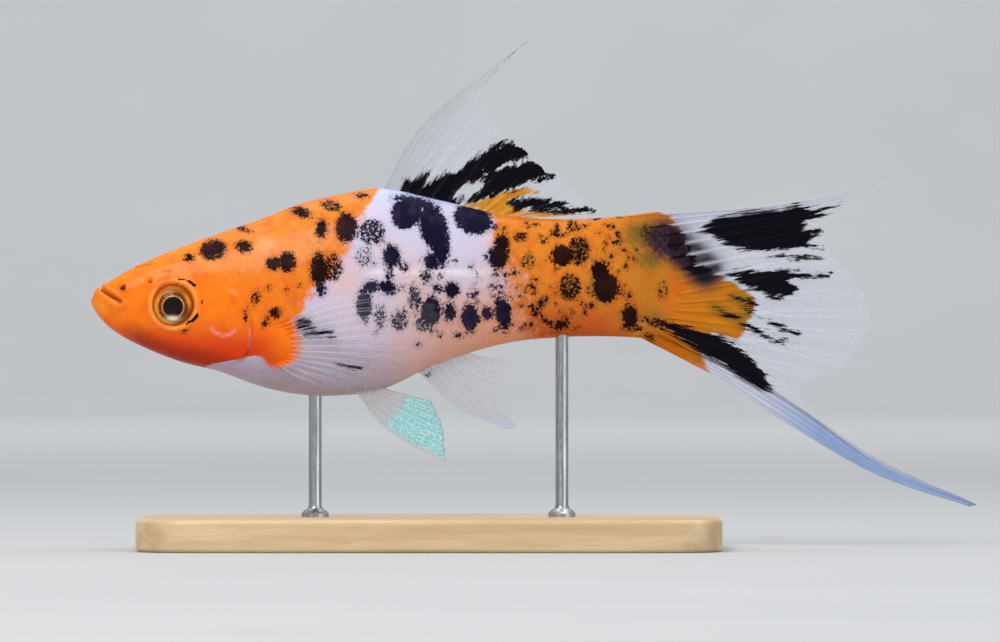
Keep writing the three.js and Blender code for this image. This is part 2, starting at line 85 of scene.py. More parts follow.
# The lights: name, place, what it faces, size, strength, colour
STAGE_CENTRE = (0.01, 0.0, 0.03)
LIGHTS = (
    ("key_light", (-0.22, -0.42, 0.42), STAGE_CENTRE, (0.36, 0.3), 2.3, (1.0, 0.985, 0.96)),
    ("fill_light", (0.5, -0.4, 0.2), STAGE_CENTRE, (0.4, 0.4), 0.8, (0.95, 0.97, 1.0)),
    ("top_light", (0.02, 0.06, 0.5), STAGE_CENTRE, (0.4, 0.3), 1.3, (1.0, 1.0, 1.0)),
    ("backdrop_light", (0.0, 0.9, 1.1), (0.0, 1.9, 0.1), (1.8, 0.5), 14.0, (1.0, 1.0, 1.0)),
)

# The body: behind the snout, back, belly, half width
STATIONS = np.array((
    (0, 0.6, -0.9, 1.3),
    (2.4, 2.4, -3.5, 2.3),
    (6, 4.4, -5.6, 3.2),
    (11, 6.5, -7.6, 4.1),
    (16, 8.3, -8.9, 4.9),
    (21, 10.0, -10.7, 5.5),
    (26, 11.9, -11.7, 5.8),
    (31, 13.1, -11.8, 5.7),
    (36, 13.8, -11.1, 5.4),
    (43, 12.4, -7.9, 4.5),
    (51, 10.6, -5.45, 3.5),
    (58, 10.0, -4.6, 2.7),
    (65, 10.3, -4.5, 1.9),
    (70, 10.9, -4.8, 1.4),
))
BODY_END = 70.0
SNOUT_ROUNDING = 1.0
TAIL_ROUNDING = 4.6
CROWN_POWER = 2.5
BACK_POWER = 1.9
BELLY_POWER = 2.1
CROWN_END = 7.0
BACK_START = 26.0
SLIM_FROM = 60.0
SLIM_TO = 72.0
SLIM_SHARE = 0.74

# The solids that the skin takes the place of
FLESH_NODES = (
    "head", "upper_jaw", "lower_jaw", "gill_cover_left", "gill_cover_right", "trunk_front", "trunk_rear",
    "tail_base",
)

# How finely the skin is divided
SKIN_SIDES = 160
SNOUT_CAP_RINGS = 10
TAIL_CAP_RINGS = 16
HEAD_RINGS = 124
TRUNK_RINGS = 142
HEAD_END = 22.0

# The head's features
EYE_CENTRE = (10.4, -0.6)
EYE_RADIUS = 2.55
EYE_HALF_DEPTH = 1.3
EYE_OFFSET = 3.45
PUPIL_CENTRE = (10.35, -0.85)
PUPIL_RADIUS = 1.27
GOLD_RING_END = (1.34, 1.45)
PALE_RING = (1.74, 1.98)
IRIS_RIM = (2.2, 2.4)
# A painted catch light below the pupil: its centre and half sizes
PAINTED_GLINT_SPOT = (10.3, -2.28, 0.72, 0.28)
ORBIT_RING = 2.85
BROW_RING = 2.95
SOCKET_DEPTH = 0.85
SOCKET_WALL = (2.62, 2.2)
SOCKET_CREASE = 2.42
MOUTH_LINE = ((0.5, 2.3), (1.4, 1.25), (2.6, 0.5), (3.9, -0.25))
MOUTH_GAP = 0.17
MOUTH_DEPTH = 0.6
MOUTH_CORNER = (4.3, 3.6)
LOWER_LIP = (1.9, -0.8, 1.8, 0.95)
NOSTRILS = ((4.1, 1.5), (7.5, 2.3))
NOSTRIL_RIM = 0.42
NOSTRIL_HOLE = 0.22
NOSTRIL_DEPTH = 0.42
GILL_STEP = 0.22
LOBE_RISE = 0.55
LATERAL_LINE = 3.4
GILL_OUTLINE = (
    (14.6, 0.8), (16.6, 1.9), (18.4, 1.0), (19.6, -1.6), (19.9, -4.4),
    (19.1, -6.9), (17.0, -8.0), (14.0, -7.9), (12.7, -6.2), (13.6, -3.0),
)
FIN_LOBE = (23.5, -5.5, 2.7, 2.9)

# How high and how wide each lip is, and how far from the mouth's line
UPPER_LIP_ROLL = (0.3, 0.34, 0.48)
LOWER_LIP_ROLL = (0.42, 0.55, 0.7)

# Folds beside the jaw, on the cheek and behind the upper lip: the line, its depth and its width
HEAD_FOLDS = (
    (((3.9, -0.6), (4.5, -2.0), (4.9, -4.6)), 0.12, 0.25),
    (((14.3, 1.6), (13.3, -1.6), (12.6, -4.4), (13.4, -6.9)), 0.06, 0.35),
    (((1.9, 1.8), (3.6, 0.95), (4.5, 0.1)), 0.14, 0.2),
)

# Where the scales begin and end: height, behind the snout
SCALES_FROM = ((-9, 21.0), (-7, 20.6), (-2, 20.8), (2, 18.6), (8, 15.0))
FIRST_SCALE = 15.5
LAST_SCALE = 71.0
SCALE_OVERLAP = 0.62
SCALE_SPREAD = 0.56
SCALE_SINK = 0.04
SCALE_PATCH = 0.003

# Fine lines on the head in the photograph's pixels, with how strong and how wide each is; the pale ones are
# painted highlights on the gill cover
GILL_HIGHLIGHT_LINES = (
    (((213, 328), (217, 332), (224, 335), (231, 334), (236, 330)), 0.7, 0.18),
    (((251, 328), (252, 338), (250, 348)), 0.4, 0.16),
)
DARK_LINES = (
    (((137, 267), (152, 264)), 0.5, 0.2),
    (((136, 273), (143, 275), (150, 277)), 0.3, 0.16),
    (((164, 271), (172, 271)), 0.5, 0.26),
    (((172, 279), (166, 282), (160, 289)), 0.35, 0.2),
)

# Fine black lines round the eye, with how wide each is
INK_LINES = (
    (((180, 280), (188, 281), (194, 285)), 0.12), (((191, 282), (196, 286)), 0.2),
    (((199, 313), (196, 318), (188, 323)), 0.13), (((198, 316), (194, 320)), 0.22),
    (((204, 300), (203, 304)), 0.1),
)

# The pale nape in the photograph's pixels: its centre and its reach
NAPE = (266, 243, 9)

# The smoky patches at the root of the tail and on the nape, and how far each reaches in millimetres
SMOKES = ((((664, 238), (677, 245), (691, 256), (706, 270)), 2.5), (((209, 252), (219, 248)), 0.9))

# The fins: each key ray runs from its root to its tip
DORSAL_KEYS = (
    ((36.4, 13.8), (41.4, 22.1), (54.1, 32.1)),
    ((37.6, 13.5), (42.9, 21.7), (52.7, 30.8)),
    ((39.0, 13.1), (43.5, 19.8), (48.7, 26.3)),
    ((42.3, 12.4), (46.6, 18.0), (51.0, 22.1)),
    ((46.7, 11.5), (50.5, 15.1), (53.9, 18.7)),
    ((51.1, 10.7), (54.7, 12.8), (58.2, 15.6)),
    ((54.7, 10.2), (59.0, 10.5), (63.5, 10.7)),
)
TAIL_KEYS = (
    ((69.3, 10.6), (76.0, 11.0), (84.2, 11.8), (91.4, 13.0), (98.8, 14.8)),
    ((72.0, 9.3), (77.6, 10.0), (83.6, 10.7), (88.8, 11.4), (94.1, 12.2)),
    ((74.0, 7.1), (78.7, 7.9), (83.6, 8.7), (87.5, 9.2), (91.4, 9.7)),
    ((75.1, 4.2), (79.5, 5.1), (83.9, 5.8), (87.9, 6.2), (91.8, 6.4)),
    ((75.5, 1.2), (80.6, 2.1), (85.8, 2.7), (90.2, 3.0), (94.5, 3.1)),
    ((75.0, -1.4), (80.6, -1.6), (86.2, -1.7), (91.6, -1.7), (97.1, -1.5)),
    ((73.5, -3.5), (78.5, -4.5), (83.6, -5.5), (88.9, -6.6), (94.1, -7.7)),
    ((71.9, -4.5), (76.2, -6.7), (80.6, -8.7), (84.6, -10.4), (88.2, -11.8)),
    ((71.3, -4.7), (78.0, -7.9), (84.3, -11.2), (91.3, -15.7), (97.8, -20.0)),
    ((70.8, -4.8), (79.9, -9.0), (87.4, -13.2), (97.8, -20.3), (110.0, -25.4)),
    ((69.8, -4.9), (78.6, -9.3), (87.3, -14.5), (97.8, -21.1), (110.0, -25.65)),
    ((68.4, -4.8), (77.4, -9.5), (87.2, -15.8), (97.8, -21.8), (110.0, -25.9)),
)
ANAL_KEYS = (
    ((41.3, -9.6), (45.2, -13.2), (51.4, -16.0)),
    ((42.4, -8.9), (46.5, -12.6), (53.0, -15.8)),
    ((43.8, -7.9), (46.9, -10.9), (50.3, -12.9)),
    ((45.0, -7.0), (47.6, -9.0), (51.1, -9.9)),
    ((46.2, -6.4), (49.2, -7.1), (52.4, -7.4)),
)
PELVIC_KEYS = (
    ((33.0, -11.4), (36.5, -15.9), (44.0, -20.2)),
    ((34.6, -11.3), (38.5, -14.0), (43.8, -16.3)),
    ((36.3, -11.0), (39.6, -11.9), (42.2, -12.6)),
)
PECTORAL_KEYS = (
    ((22.6, -3.2), (31.5, 0.4), (41.0, 1.4)),
    ((22.8, -4.4), (32.6, -2.4), (43.6, -1.9)),
    ((23.0, -5.8), (32.7, -5.7), (43.3, -6.6)),
    ((23.2, -7.0), (30.6, -8.2), (38.6, -10.2)),
    ((23.2, -8.0), (25.8, -9.6), (29.2, -11.1)),
)
PELVIC_ROOT_OFFSET = 1.3
PELVIC_SPLAY = 2.4
PECTORAL_ROOT_DEPTH = 0.9
PECTORAL_SPLAY = 3.4
THICKNESS_STEPS = 32

# The marks, in the photograph's pixels: centre, half sizes, tilt in degrees, and how solid each mark is
SOLID = 2.0
LOOSE = 0.12
FAINT = -0.05
BODY_MARKS = (
    (124, 289, 2.6, 2, 20, SOLID), (190, 258, 5, 4, 0, SOLID), (214, 250, 13, 10, 0, LOOSE),
    (245, 247, 8, 6, 0, SOLID), (243, 229, 7, 2.5, 20, SOLID), (275, 264, 8, 7, 0, SOLID),
    (288, 262, 9, 10, 0, SOLID), (302, 213, 10, 5, 20, SOLID), (332, 206, 9, 5, 10, LOOSE),
    (322, 229, 6, 10, 0, SOLID), (347, 228, 11, 15, 0, SOLID), (372, 232, 13, 12, 0, LOOSE),
    (362, 196, 6, 2.5, 0, SOLID), (320, 270, 9, 17, 0, SOLID), (334, 268, 9, 13, 0, LOOSE),
    (322, 290, 5, 6, 0, SOLID), (257, 298, 4, 7, 20, LOOSE), (270, 288, 2.5, 2, 0, SOLID),
    (288, 290, 2, 2, 0, SOLID), (300, 285, 2, 2, 0, SOLID), (247, 315, 1.5, 4, 0, SOLID),
    (277, 313, 6, 5, 0, SOLID), (267, 322, 3, 5, 30, SOLID), (186, 331, 2, 1.5, 0, SOLID),
    (365, 258, 8, 9, 0, FAINT), (392, 257, 9, 12, 0, SOLID), (405, 268, 4, 5, 0, LOOSE),
    (390, 275, 5, 5, 0, LOOSE), (372, 287, 9, 6, -10, SOLID), (365, 305, 8, 17, 0, SOLID),
    (388, 288, 10, 7, 20, SOLID), (407, 213, 15, 17, 30, SOLID), (416, 203, 22, 6, 12, SOLID),
    (434, 228, 14, 24, -15, SOLID), (441, 246, 9, 22, 0, SOLID), (432, 262, 8, 8, 0, SOLID),
    (473, 219, 20, 15, 20, SOLID), (502, 243, 8, 8, 30, SOLID), (498, 257, 10, 12, 0, SOLID),
    (426, 277, 6, 6, 0, LOOSE), (437, 288, 5, 4, 0, SOLID), (452, 290, 8, 8, 0, SOLID),
    (450, 312, 6, 10, 0, SOLID), (415, 299, 6, 13, 0, LOOSE), (431, 312, 10, 16, 10, SOLID),
    (422, 325, 6, 6, 0, LOOSE), (381, 317, 5, 10, 0, LOOSE), (400, 320, 8, 10, 0, LOOSE),
    (470, 317, 9, 14, 0, SOLID), (487, 313, 6, 7, 0, SOLID), (503, 313, 8, 17, -8, SOLID),
    (520, 237, 6, 5, 0, LOOSE), (528, 262, 7, 6, 0, FAINT), (562, 256, 11, 11, 0, SOLID),
    (579, 251, 10, 14, 0, LOOSE), (570, 287, 11, 13, 0, LOOSE), (600, 272, 9, 11, 0, SOLID),
    (606, 288, 13, 15, 0, SOLID), (630, 317, 8, 13, 0, SOLID), (560, 325, 9, 5, -10, SOLID),
    (572, 226, 5, 5, 0, LOOSE), (555, 233, 5, 4, 0, LOOSE), (540, 305, 4, 5, 0, LOOSE),
    (536, 312, 4, 5, 0, LOOSE), (545, 300, 4, 4, 0, LOOSE), (676, 243, 7, 7, 30, LOOSE),
    (648, 232, 6, 6, 0, FAINT), (692, 259, 10, 4, 35, SOLID), (666, 326, 22, 5, 17, LOOSE),
    (600, 217, 6, 2, -20, SOLID), (619, 215, 4, 2, 0, SOLID), (650, 338, 6, 3, 40, LOOSE),
    (590, 306, 4, 3, 0, SOLID), (663, 290, 4, 7, 0, FAINT),
)
OLIVE_MARKS = (
    (640, 235, 22, 18, 0), (580, 250, 14, 16, 0), (570, 288, 13, 14, 0), (520, 237, 8, 7, 0),
    (650, 260, 22, 14, 0), (330, 206, 14, 7, 0), (302, 212, 12, 7, 0), (655, 315, 20, 8, 15),
    (600, 285, 16, 22, 0), (528, 262, 9, 8, 0),
)
SPECKS = 130
SPECK_SEED = 7
SPECK_AREA = (470.0, 222.0, 640.0, 334.0)
SPECK_SIZES = (0.9, 2.8)
FRONT_SPECKS = 26
FRONT_SPECK_SEED = 11
FRONT_SPECK_AREA = (360.0, 240.0, 480.0, 345.0)

# How far the far side's marks are moved, in millimetres
FAR_SHIFT = 1.0

# Peach blushes in the white: behind the snout, height, reach, strength
BLUSHES = ((31.5, 2.6, 2.2, 0.55), (40.0, 2.6, 2.6, 0.35), (33.0, -2.0, 2.0, 0.2), (36.5, 6.5, 1.8, 0.25))

# The depth of a mark that isn't there, and the least depth between the body's marks, in millimetres
NO_MARK = -5.0
LEAST_DEPTH = -3.0

# Where the white begins and ends: height, behind the snout
WHITE_FROM = (
    (-10, 12.6), (-8.6, 13.6), (-7.8, 15.5), (-7.2, 18.5), (-6.7, 21.5), (-5.5, 24.5), (-3.0, 25.6),
    (1.2, 27.6), (5, 31.5), (9, 32.5), (14, 36.0),
)
WHITE_TO = ((-12, 54.0), (-4.5, 52.0), (-1.2, 49.7), (2.5, 49.4), (6, 48.8), (9.5, 49.5), (13, 47.5))

DORSAL_BLACK = (
    (
        (400, 193), (405, 180), (413, 180), (428, 170), (424, 184), (442, 175), (462, 169), (480, 155),
        (498, 144), (520, 142), (530, 150), (528, 157), (506, 164), (487, 173), (483, 181), (462, 184),
        (452, 196), (455, 204), (430, 202), (412, 197),
    ),
    (
        (452, 205), (462, 199), (484, 190), (487, 173), (505, 168), (530, 160), (546, 161), (547, 168),
        (553, 176), (532, 181), (512, 188), (492, 197), (470, 203),
    ),
    ((508, 204), (520, 199), (537, 198), (562, 204), (592, 211), (575, 213), (545, 211), (515, 209)),
)
DORSAL_WARM = (
    (453, 206), (480, 198), (505, 190), (530, 188), (548, 191), (525, 196), (508, 200), (520, 208),
    (560, 213), (592, 214), (560, 219), (500, 216),
)
TAIL_BLACK = (
    (
        (699, 232), (718, 217), (747, 211), (782, 209), (797, 203), (812, 209), (847, 203), (825, 213),
        (808, 222), (804, 228), (826, 231), (815, 238), (808, 244), (824, 247), (803, 249), (757, 251),
        (733, 247), (714, 238),
    ),
    (
        (726, 274), (748, 269), (790, 271), (832, 273), (830, 278), (790, 279), (798, 288), (793, 295),
        (773, 297), (748, 288),
    ),
    ((768, 256), (800, 254), (822, 257), (800, 259)),
    (
        (640, 310), (660, 318), (695, 329), (733, 341), (748, 352), (761, 370), (776, 391), (763, 391),
        (740, 378), (720, 364), (703, 356), (688, 344), (668, 330),
    ),
    ((713, 307), (740, 318), (783, 343), (760, 334), (735, 320)),
    ((760, 318), (783, 325), (798, 334), (780, 330)),
    ((767, 330), (785, 336), (798, 342), (780, 339)),
    ((733, 297), (750, 299), (757, 304), (742, 303)),
    ((743, 308), (752, 309), (756, 314), (747, 313)),
    (
        (640, 222), (660, 222), (680, 230), (690, 245), (688, 258), (712, 270), (706, 276), (680, 270),
        (655, 262),
    ),
)
TAIL_WARM = (
    (600, 216), (655, 211), (672, 216), (668, 235), (690, 262), (712, 272), (735, 283), (756, 298),
    (752, 318), (738, 341), (715, 333), (700, 345), (709, 372), (680, 360), (640, 346), (600, 335),
)
ANAL_BLACK = (((408, 376), (422, 377), (430, 370), (432, 374), (424, 381)),)
PECTORAL_BLACK = (
    ((304, 331), (333, 332), (333, 335), (304, 335)),
    ((298, 319), (311, 320), (312, 323), (298, 322)),
    ((300, 325), (316, 326), (316, 330), (300, 329)),
    ((337, 361), (363, 368), (361, 371), (338, 364)),
)


def linear(red, green, blue):
    """A colour as the eye names it, from 0 to 255, as the light that a shader works with."""
    parts = [value / 255 for value in (red, green, blue)]
    return tuple(v / 12.92 if v <= 0.04045 else ((v + 0.055) / 1.055) ** 2.4 for v in parts)


CHEEK_ORANGE = linear(252, 126, 12)
NAPE_PEACH = linear(255, 192, 132)
THROAT_RED = linear(222, 58, 2)
CROWN_ORANGE = linear(240, 134, 34)
LIP_AMBER = linear(255, 152, 40)
ORBIT_GOLD = linear(255, 184, 96)
REAR_ORANGE = linear(234, 132, 24)
UNDER_BROWN = linear(196, 84, 8)
TAIL_AMBER = linear(198, 120, 14)
BLUSH_PEACH = linear(248, 188, 158)
BACK_WHITE = linear(214, 205, 230)
FLANK_WHITE = linear(216, 202, 222)
FLANK_PINK = linear(224, 170, 158)
FLANK_PEACH = linear(230, 146, 100)
BELLY_SHADED_WHITE = linear(178, 163, 184)
OLIVE = linear(112, 96, 22)
INK = linear(12, 9, 18)
INK_BROWN = linear(32, 10, 8)
INK_NAVY = linear(20, 16, 42)
WORN_BROWN = linear(66, 30, 20)
WORN_NAVY = linear(62, 50, 76)
SMOKE = linear(27, 23, 46)
UNDER_HEAD_SHADE_RED = linear(140, 28, 4)
PAINTED_GLEAM_PINK = linear(246, 168, 150)
# The colour of the painted catch light in the eye
PAINTED_GLINT_CREAM = linear(255, 252, 226)
PAINTED_BACK_SHEEN = linear(196, 206, 250)
LATERAL_HIGHLIGHT_WHITE = linear(255, 240, 250)
FRECKLE = linear(176, 62, 8)
CLEAR_LILAC = linear(206, 208, 224)
SWORD_BLUE = linear(136, 168, 214)
CLEAR_GREY = linear(200, 200, 204)
CLEAR_WHITE = linear(236, 236, 246)
EDGE_GREY = linear(178, 178, 190)
ANAL_GREY = linear(196, 194, 201)
TIP_BLUE = linear(196, 212, 238)
FIN_YELLOW = linear(214, 148, 16)
FAN_AMBER = linear(196, 120, 8)
FAN_ORANGE = linear(206, 108, 8)
TURQUOISE = linear(66, 194, 194)
PAINTED_GLINT_ICE = linear(212, 248, 245)
LILAC = linear(166, 190, 226)
SCALE_RIM_HIGHLIGHT = linear(255, 236, 220)
SCALE_ROOT_SHADE = linear(110, 62, 50)
SHADE_AND_LINE_BROWN = linear(92, 22, 8)
RAY_WHITE = linear(240, 240, 248)
FOLD_GREY = linear(150, 150, 172)
STREAK_TAN = linear(238, 196, 140)
IRIS_GOLD = linear(255, 212, 104)
IRIS_BRONZE = linear(206, 120, 34)
IRIS_BROWN = linear(80, 28, 6)
IRIS_AMBER = linear(160, 72, 14)
IRIS_PALE = linear(255, 168, 54)
IRIS_PAINTED_SHADE = linear(44, 14, 6)
IRIS_EDGE = linear(206, 92, 16)
PUPIL_BLACK = linear(12, 5, 3)
CORNEA_CLEAR = linear(255, 250, 244)
MAPLE_PALE = linear(226, 200, 160)
MAPLE_DARK = linear(196, 162, 118)
MAPLE_PORE = linear(150, 112, 74)
STEEL_PALE = linear(196, 198, 201)
STEEL_DARK = linear(160, 163, 167)


# Curves and sections, all on arrays

def hermite(a, b, slope_a, slope_b, s):
    """A point at s (0 to 1) on the smooth curve from a to b with these slopes at its ends."""
    s2 = s * s
    s3 = s2 * s
    ends = a * (2 * s3 - 3 * s2 + 1) + b * (3 * s2 - 2 * s3)
    return ends + slope_a * (s3 - 2 * s2 + s) + slope_b * (s3 - s2)


def station_value(t, column):
    """The back, the belly or the half width at a distance behind the snout."""
    knots = STATIONS[:, 0]
    values = STATIONS[:, column]
    t = np.clip(t, knots[0], knots[-1])
    i = np.clip(np.searchsorted(knots, t, side="right") - 1, 0, len(knots) - 2)
    slopes = np.empty_like(values)
    slopes[1:-1] = (values[2:] - values[:-2]) / (knots[2:] - knots[:-2])
    slopes[0] = (values[1] - values[0]) / (knots[1] - knots[0])
    slopes[-1] = (values[-1] - values[-2]) / (knots[-1] - knots[-2])
    span = knots[i + 1] - knots[i]
    return hermite(values[i], values[i + 1], slopes[i] * span, slopes[i + 1] * span, (t - knots[i]) / span)


def smooth_run(points, u):
    """Points at u (0 to 1) on the smooth curves through lists of points, shaped (..., n, 2) and (...)."""
    last = points.shape[-2] - 1
    place = np.clip(u, 0, 1) * last
    i = np.clip(np.floor(place).astype(int), 0, last - 1)

    def take(k):
        index = np.clip(k, 0, last)[..., None, None]
        return np.take_along_axis(points, index, axis=-2)[..., 0, :]

    a = take(i)
    b = take(i + 1)
    slope_a = (b - take(i - 1)) / np.where(i > 0, 2, 1)[..., None]
    slope_b = (take(i + 2) - a) / np.where(i + 2 <= last, 2, 1)[..., None]
    return hermite(a, b, slope_a, slope_b, (place - i)[..., None])


def smooth_step(value, low, high):
    """From nought at the first limit to one at the second, whichever is the higher."""
    s = np.clip((value - low) / (high - low), 0, 1)
    return s * s * (3 - 2 * s)


def bell(distance, width):
    """One at nought, fading smoothly on both sides."""
    return np.exp(-(distance / width) ** 2)


def section(t):
    """A section's middle height, its reach up and down, its half width and how square its top is."""
    back = station_value(t, 1)
    belly = station_value(t, 2)
    middle = (back + belly) / 2
    upper_power = CROWN_POWER + (BACK_POWER - CROWN_POWER) * smooth_step(t, CROWN_END, BACK_START)
    wide = station_value(t, 3) * (1 - SLIM_SHARE * smooth_step(t, SLIM_FROM, SLIM_TO))
    return middle, back - middle, middle - belly, wide, upper_power


def body_point(t, turn, grow=0.0, size=1.0):
    """How far out and how high the body's surface is, round its section from the right flank up."""
    middle, up, down, wide, upper_power = section(t)
    across = np.cos(turn)
    rise = np.sin(turn)
    power = np.where(rise > 0, upper_power, BELLY_POWER)
    side = np.sign(across) * np.abs(across) ** (2 / power)
    lift = np.sign(rise) * np.abs(rise) ** (2 / power)
    reach = np.where(rise > 0, up, down)
    return (wide * size + grow) * side, middle + (reach * size + grow) * lift


def surface_offset(t, height):
    """How far out the flank is at a place on the fish."""
    middle, up, down, wide, upper_power = section(t)
    above = height > middle
    power = np.where(above, upper_power, BELLY_POWER)
    share = np.minimum(np.abs(height - middle) / np.where(above, up, down), 1)
    return wide * (1 - share ** power) ** (1 / power)


def bend_at(t):
    """How far the body is bent to its right, in millimetres."""
    return BEND_AMOUNT * (np.maximum(t - BEND_START, 0) / BEND_REACH) ** 2


def to_world(t, side, height):
    """Places on the fish as places in the model, in metres."""
    return np.stack((SNOUT_X + t, side + bend_at(t), SNOUT_LEVEL + height), axis=-1) * MM


def from_photo(points):
    """Places on the fish, in millimetres, of points in the photograph's pixels."""
    points = np.asarray(points, float)
    return np.stack((points[..., 0] - SNOUT_PIXEL[0], SNOUT_PIXEL[1] - points[..., 1]), axis=-1) * PIXEL


# Distances to points, lines and outlines

def away_from(t, height, point):
    return np.hypot(t - point[0], height - point[1])


def oval(t, height, middle_t, middle_h, half_long, half_high):
    """The distance from an oval's middle, which is one on its rim."""
    return np.hypot((t - middle_t) / half_long, (height - middle_h) / half_high)


def line_distance(t, height, line):
    """The distance to the nearest part of a line through several points."""
    line = np.asarray(line, float)
    best = np.full(t.shape, np.inf)
    for (at, ah), (bt, bh) in zip(line[:-1], line[1:]):
        length = (bt - at) ** 2 + (bh - ah) ** 2
        s = np.clip(((t - at) * (bt - at) + (height - ah) * (bh - ah)) / length, 0, 1)
        best = np.minimum(best, np.hypot(t - at - s * (bt - at), height - ah - s * (bh - ah)))
    return best


def outline_depth(t, height, outline):
    """The distance to an outline in millimetres, above nought inside it."""
    outline = np.asarray(outline, float)
    closed = np.vstack((outline, outline[:1]))
    inside = np.zeros(t.shape, bool)
    for (at, ah), (bt, bh) in zip(closed[:-1], closed[1:]):
        if ah == bh:
            continue
        crosses = ((ah > height) != (bh > height)) & (t < (bt - at) * (height - ah) / (bh - ah) + at)
        inside ^= crosses
    away = line_distance(t, height, closed)
    return np.where(inside, away, -away)


def smooth_outline(points, pieces):
    """A closed smooth outline through a few points."""
    points = np.asarray(points, float)
    count = len(points)
    ring = []
    for i in range(count):
        before, a, b, after = (points[(i + k) % count] for k in (-1, 0, 1, 2))
        for s in np.linspace(0, 1, pieces, endpoint=False):
            ring.append(hermite(a, b, (b - before) / 2, (after - a) / 2, s))
    return np.array(ring)


def mark_depth(t, height, marks):
    """How deep each place is inside the nearest mark, in millimetres; loose marks stay shallow."""
    depth = np.full(t.shape, LEAST_DEPTH)
    for x, y, half_x, half_y, tilt, solidity in marks:
        centre = from_photo((x, y))
        turn = math.radians(tilt)
        along = (t - centre[0]) * math.cos(turn) - (height - centre[1]) * math.sin(turn)
        across = (t - centre[0]) * math.sin(turn) + (height - centre[1]) * math.cos(turn)
        round_off = np.hypot(along / (half_x * PIXEL), across / (half_y * PIXEL))
        value = (1 - round_off) * min(half_x, half_y) * PIXEL
        depth = np.maximum(depth, np.minimum(value, solidity))
    return depth


def random_specks(count, area, seed):
    """Small marks strewn over an area of the photograph's pixels."""
    draw = np.random.default_rng(seed)
    x = draw.uniform(area[0], area[2], count)
    y = draw.uniform(area[1], area[3], count)
    size = draw.uniform(*SPECK_SIZES, count)
    stretch = draw.uniform(0.7, 1.5, count)
    tilt = draw.uniform(-40, 40, count)
    half_x = size * stretch
    half_y = size / stretch
    return tuple((x[i], y[i], half_x[i], half_y[i], tilt[i], SOLID) for i in range(count))


# Colour over the body

def mix(a, b, share):
    share = np.asarray(share)[..., None]
    return np.asarray(a) * (1 - share) + np.asarray(b) * share


def smoke_share(t, height):
    """How smoky each place is, from 0 to 1."""
    share = np.zeros(t.shape)
    for line, reach in SMOKES:
        away = line_distance(t, height, from_photo(line))
        share = np.maximum(share, bell(away, reach))
    return share


def warm_tint(t, height):
    """The orange of the head, the rear of the body and the tail, with painted shade under the head and
    painted highlights on the gill cover.
    """
    warm = mix(CROWN_ORANGE, CHEEK_ORANGE, smooth_step(height, 6, 1))
    warm = mix(warm, THROAT_RED, smooth_step(height, -1.5, -6.5) * (1 - smooth_step(t, 20, 26)))
    rear = mix(REAR_ORANGE, UNDER_BROWN, smooth_step(height, 3.0, -4.5))
    warm = mix(warm, rear, smooth_step(t, 30, 46))
    warm = mix(warm, TAIL_AMBER, smooth_step(t, 62, 70) * 0.9)
    # Painted shade: a darker red along the underside of the head
    above_belly = height - station_value(t, 2)
    under_head_shade = smooth_step(above_belly, 3.2, 0.5) * smooth_step(t, 3, 7) * smooth_step(t, 22, 16)
    warm = mix(warm, UNDER_HEAD_SHADE_RED, 0.8 * under_head_shade)
    warm = mix(warm, LIP_AMBER, 0.85 * bell(oval(t, height, *LOWER_LIP), 1))
    warm = mix(warm, ORBIT_GOLD, 0.5 * bell(away_from(t, height, EYE_CENTRE) - ORBIT_RING, 0.28))
    nape = away_from(t, height, from_photo(NAPE[:2]))
    warm = mix(warm, NAPE_PEACH, 0.45 * bell(nape, NAPE[2] * PIXEL))
    # Painted highlights on the gill cover
    for line, strength, width in GILL_HIGHLIGHT_LINES:
        away = line_distance(t, height, from_photo(line))
        warm = mix(warm, PAINTED_GLEAM_PINK, strength * bell(away, width))
    return warm


def pale_tint(t, height):
    """The white of the belly and the middle of the body, with a painted sheen on the back, a painted
    highlight along the lateral line and painted shade on the belly.
    """
    pale = mix(BACK_WHITE, FLANK_WHITE, smooth_step(height, 10, 3))
    # A painted bluish sheen along the top of the back
    pale = mix(pale, PAINTED_BACK_SHEEN, 0.7 * smooth_step(height, 11.0, 13.0))
    # A painted highlight: a pale streak along the lateral line
    lateral_highlight = smooth_step(t, 33, 37) * smooth_step(t, 52, 46) * bell(height - LATERAL_LINE, 0.3)
    pale = mix(pale, LATERAL_HIGHLIGHT_WHITE, lateral_highlight)
    # A violet-grey belly, darkened as painted shade on the underside
    pale = mix(pale, BELLY_SHADED_WHITE, smooth_step(height, -3, -9))
    pale = mix(pale, FLANK_PINK, smooth_step(height, 4, -3) * smooth_step(t, 33, 44))
    pale = mix(pale, FLANK_PINK, 0.5 * smooth_step(t, 46, 52))
    pale = mix(pale, FLANK_PEACH, 0.8 * smooth_step(t, 42, 53) * smooth_step(height, 3, -3))
    for blush_t, blush_h, reach, share in BLUSHES:
        away = away_from(t, height, (blush_t, blush_h))
        pale = mix(pale, BLUSH_PEACH, share * bell(away, reach))
    return pale


def whiteness(t, height):
    """Above nought where the skin is white, below nought where it is orange."""
    white_from = np.interp(height, *zip(*WHITE_FROM))
    white_to = np.interp(height, *zip(*WHITE_TO))
    soft_front = 1.2 + 2.2 * smooth_step(height, -4, 2) * smooth_step(height, 13, 9)
    soft_rear = 1.6 + 6.5 * smooth_step(height, 9, 1)
    white = np.minimum((t - white_from) / soft_front, (white_to + 0.4 * soft_rear - t) / soft_rear)
    white = np.minimum(white, (oval(t, height, *FIN_LOBE) - 1) * 2.5)
    return np.clip(white, -1, 1)


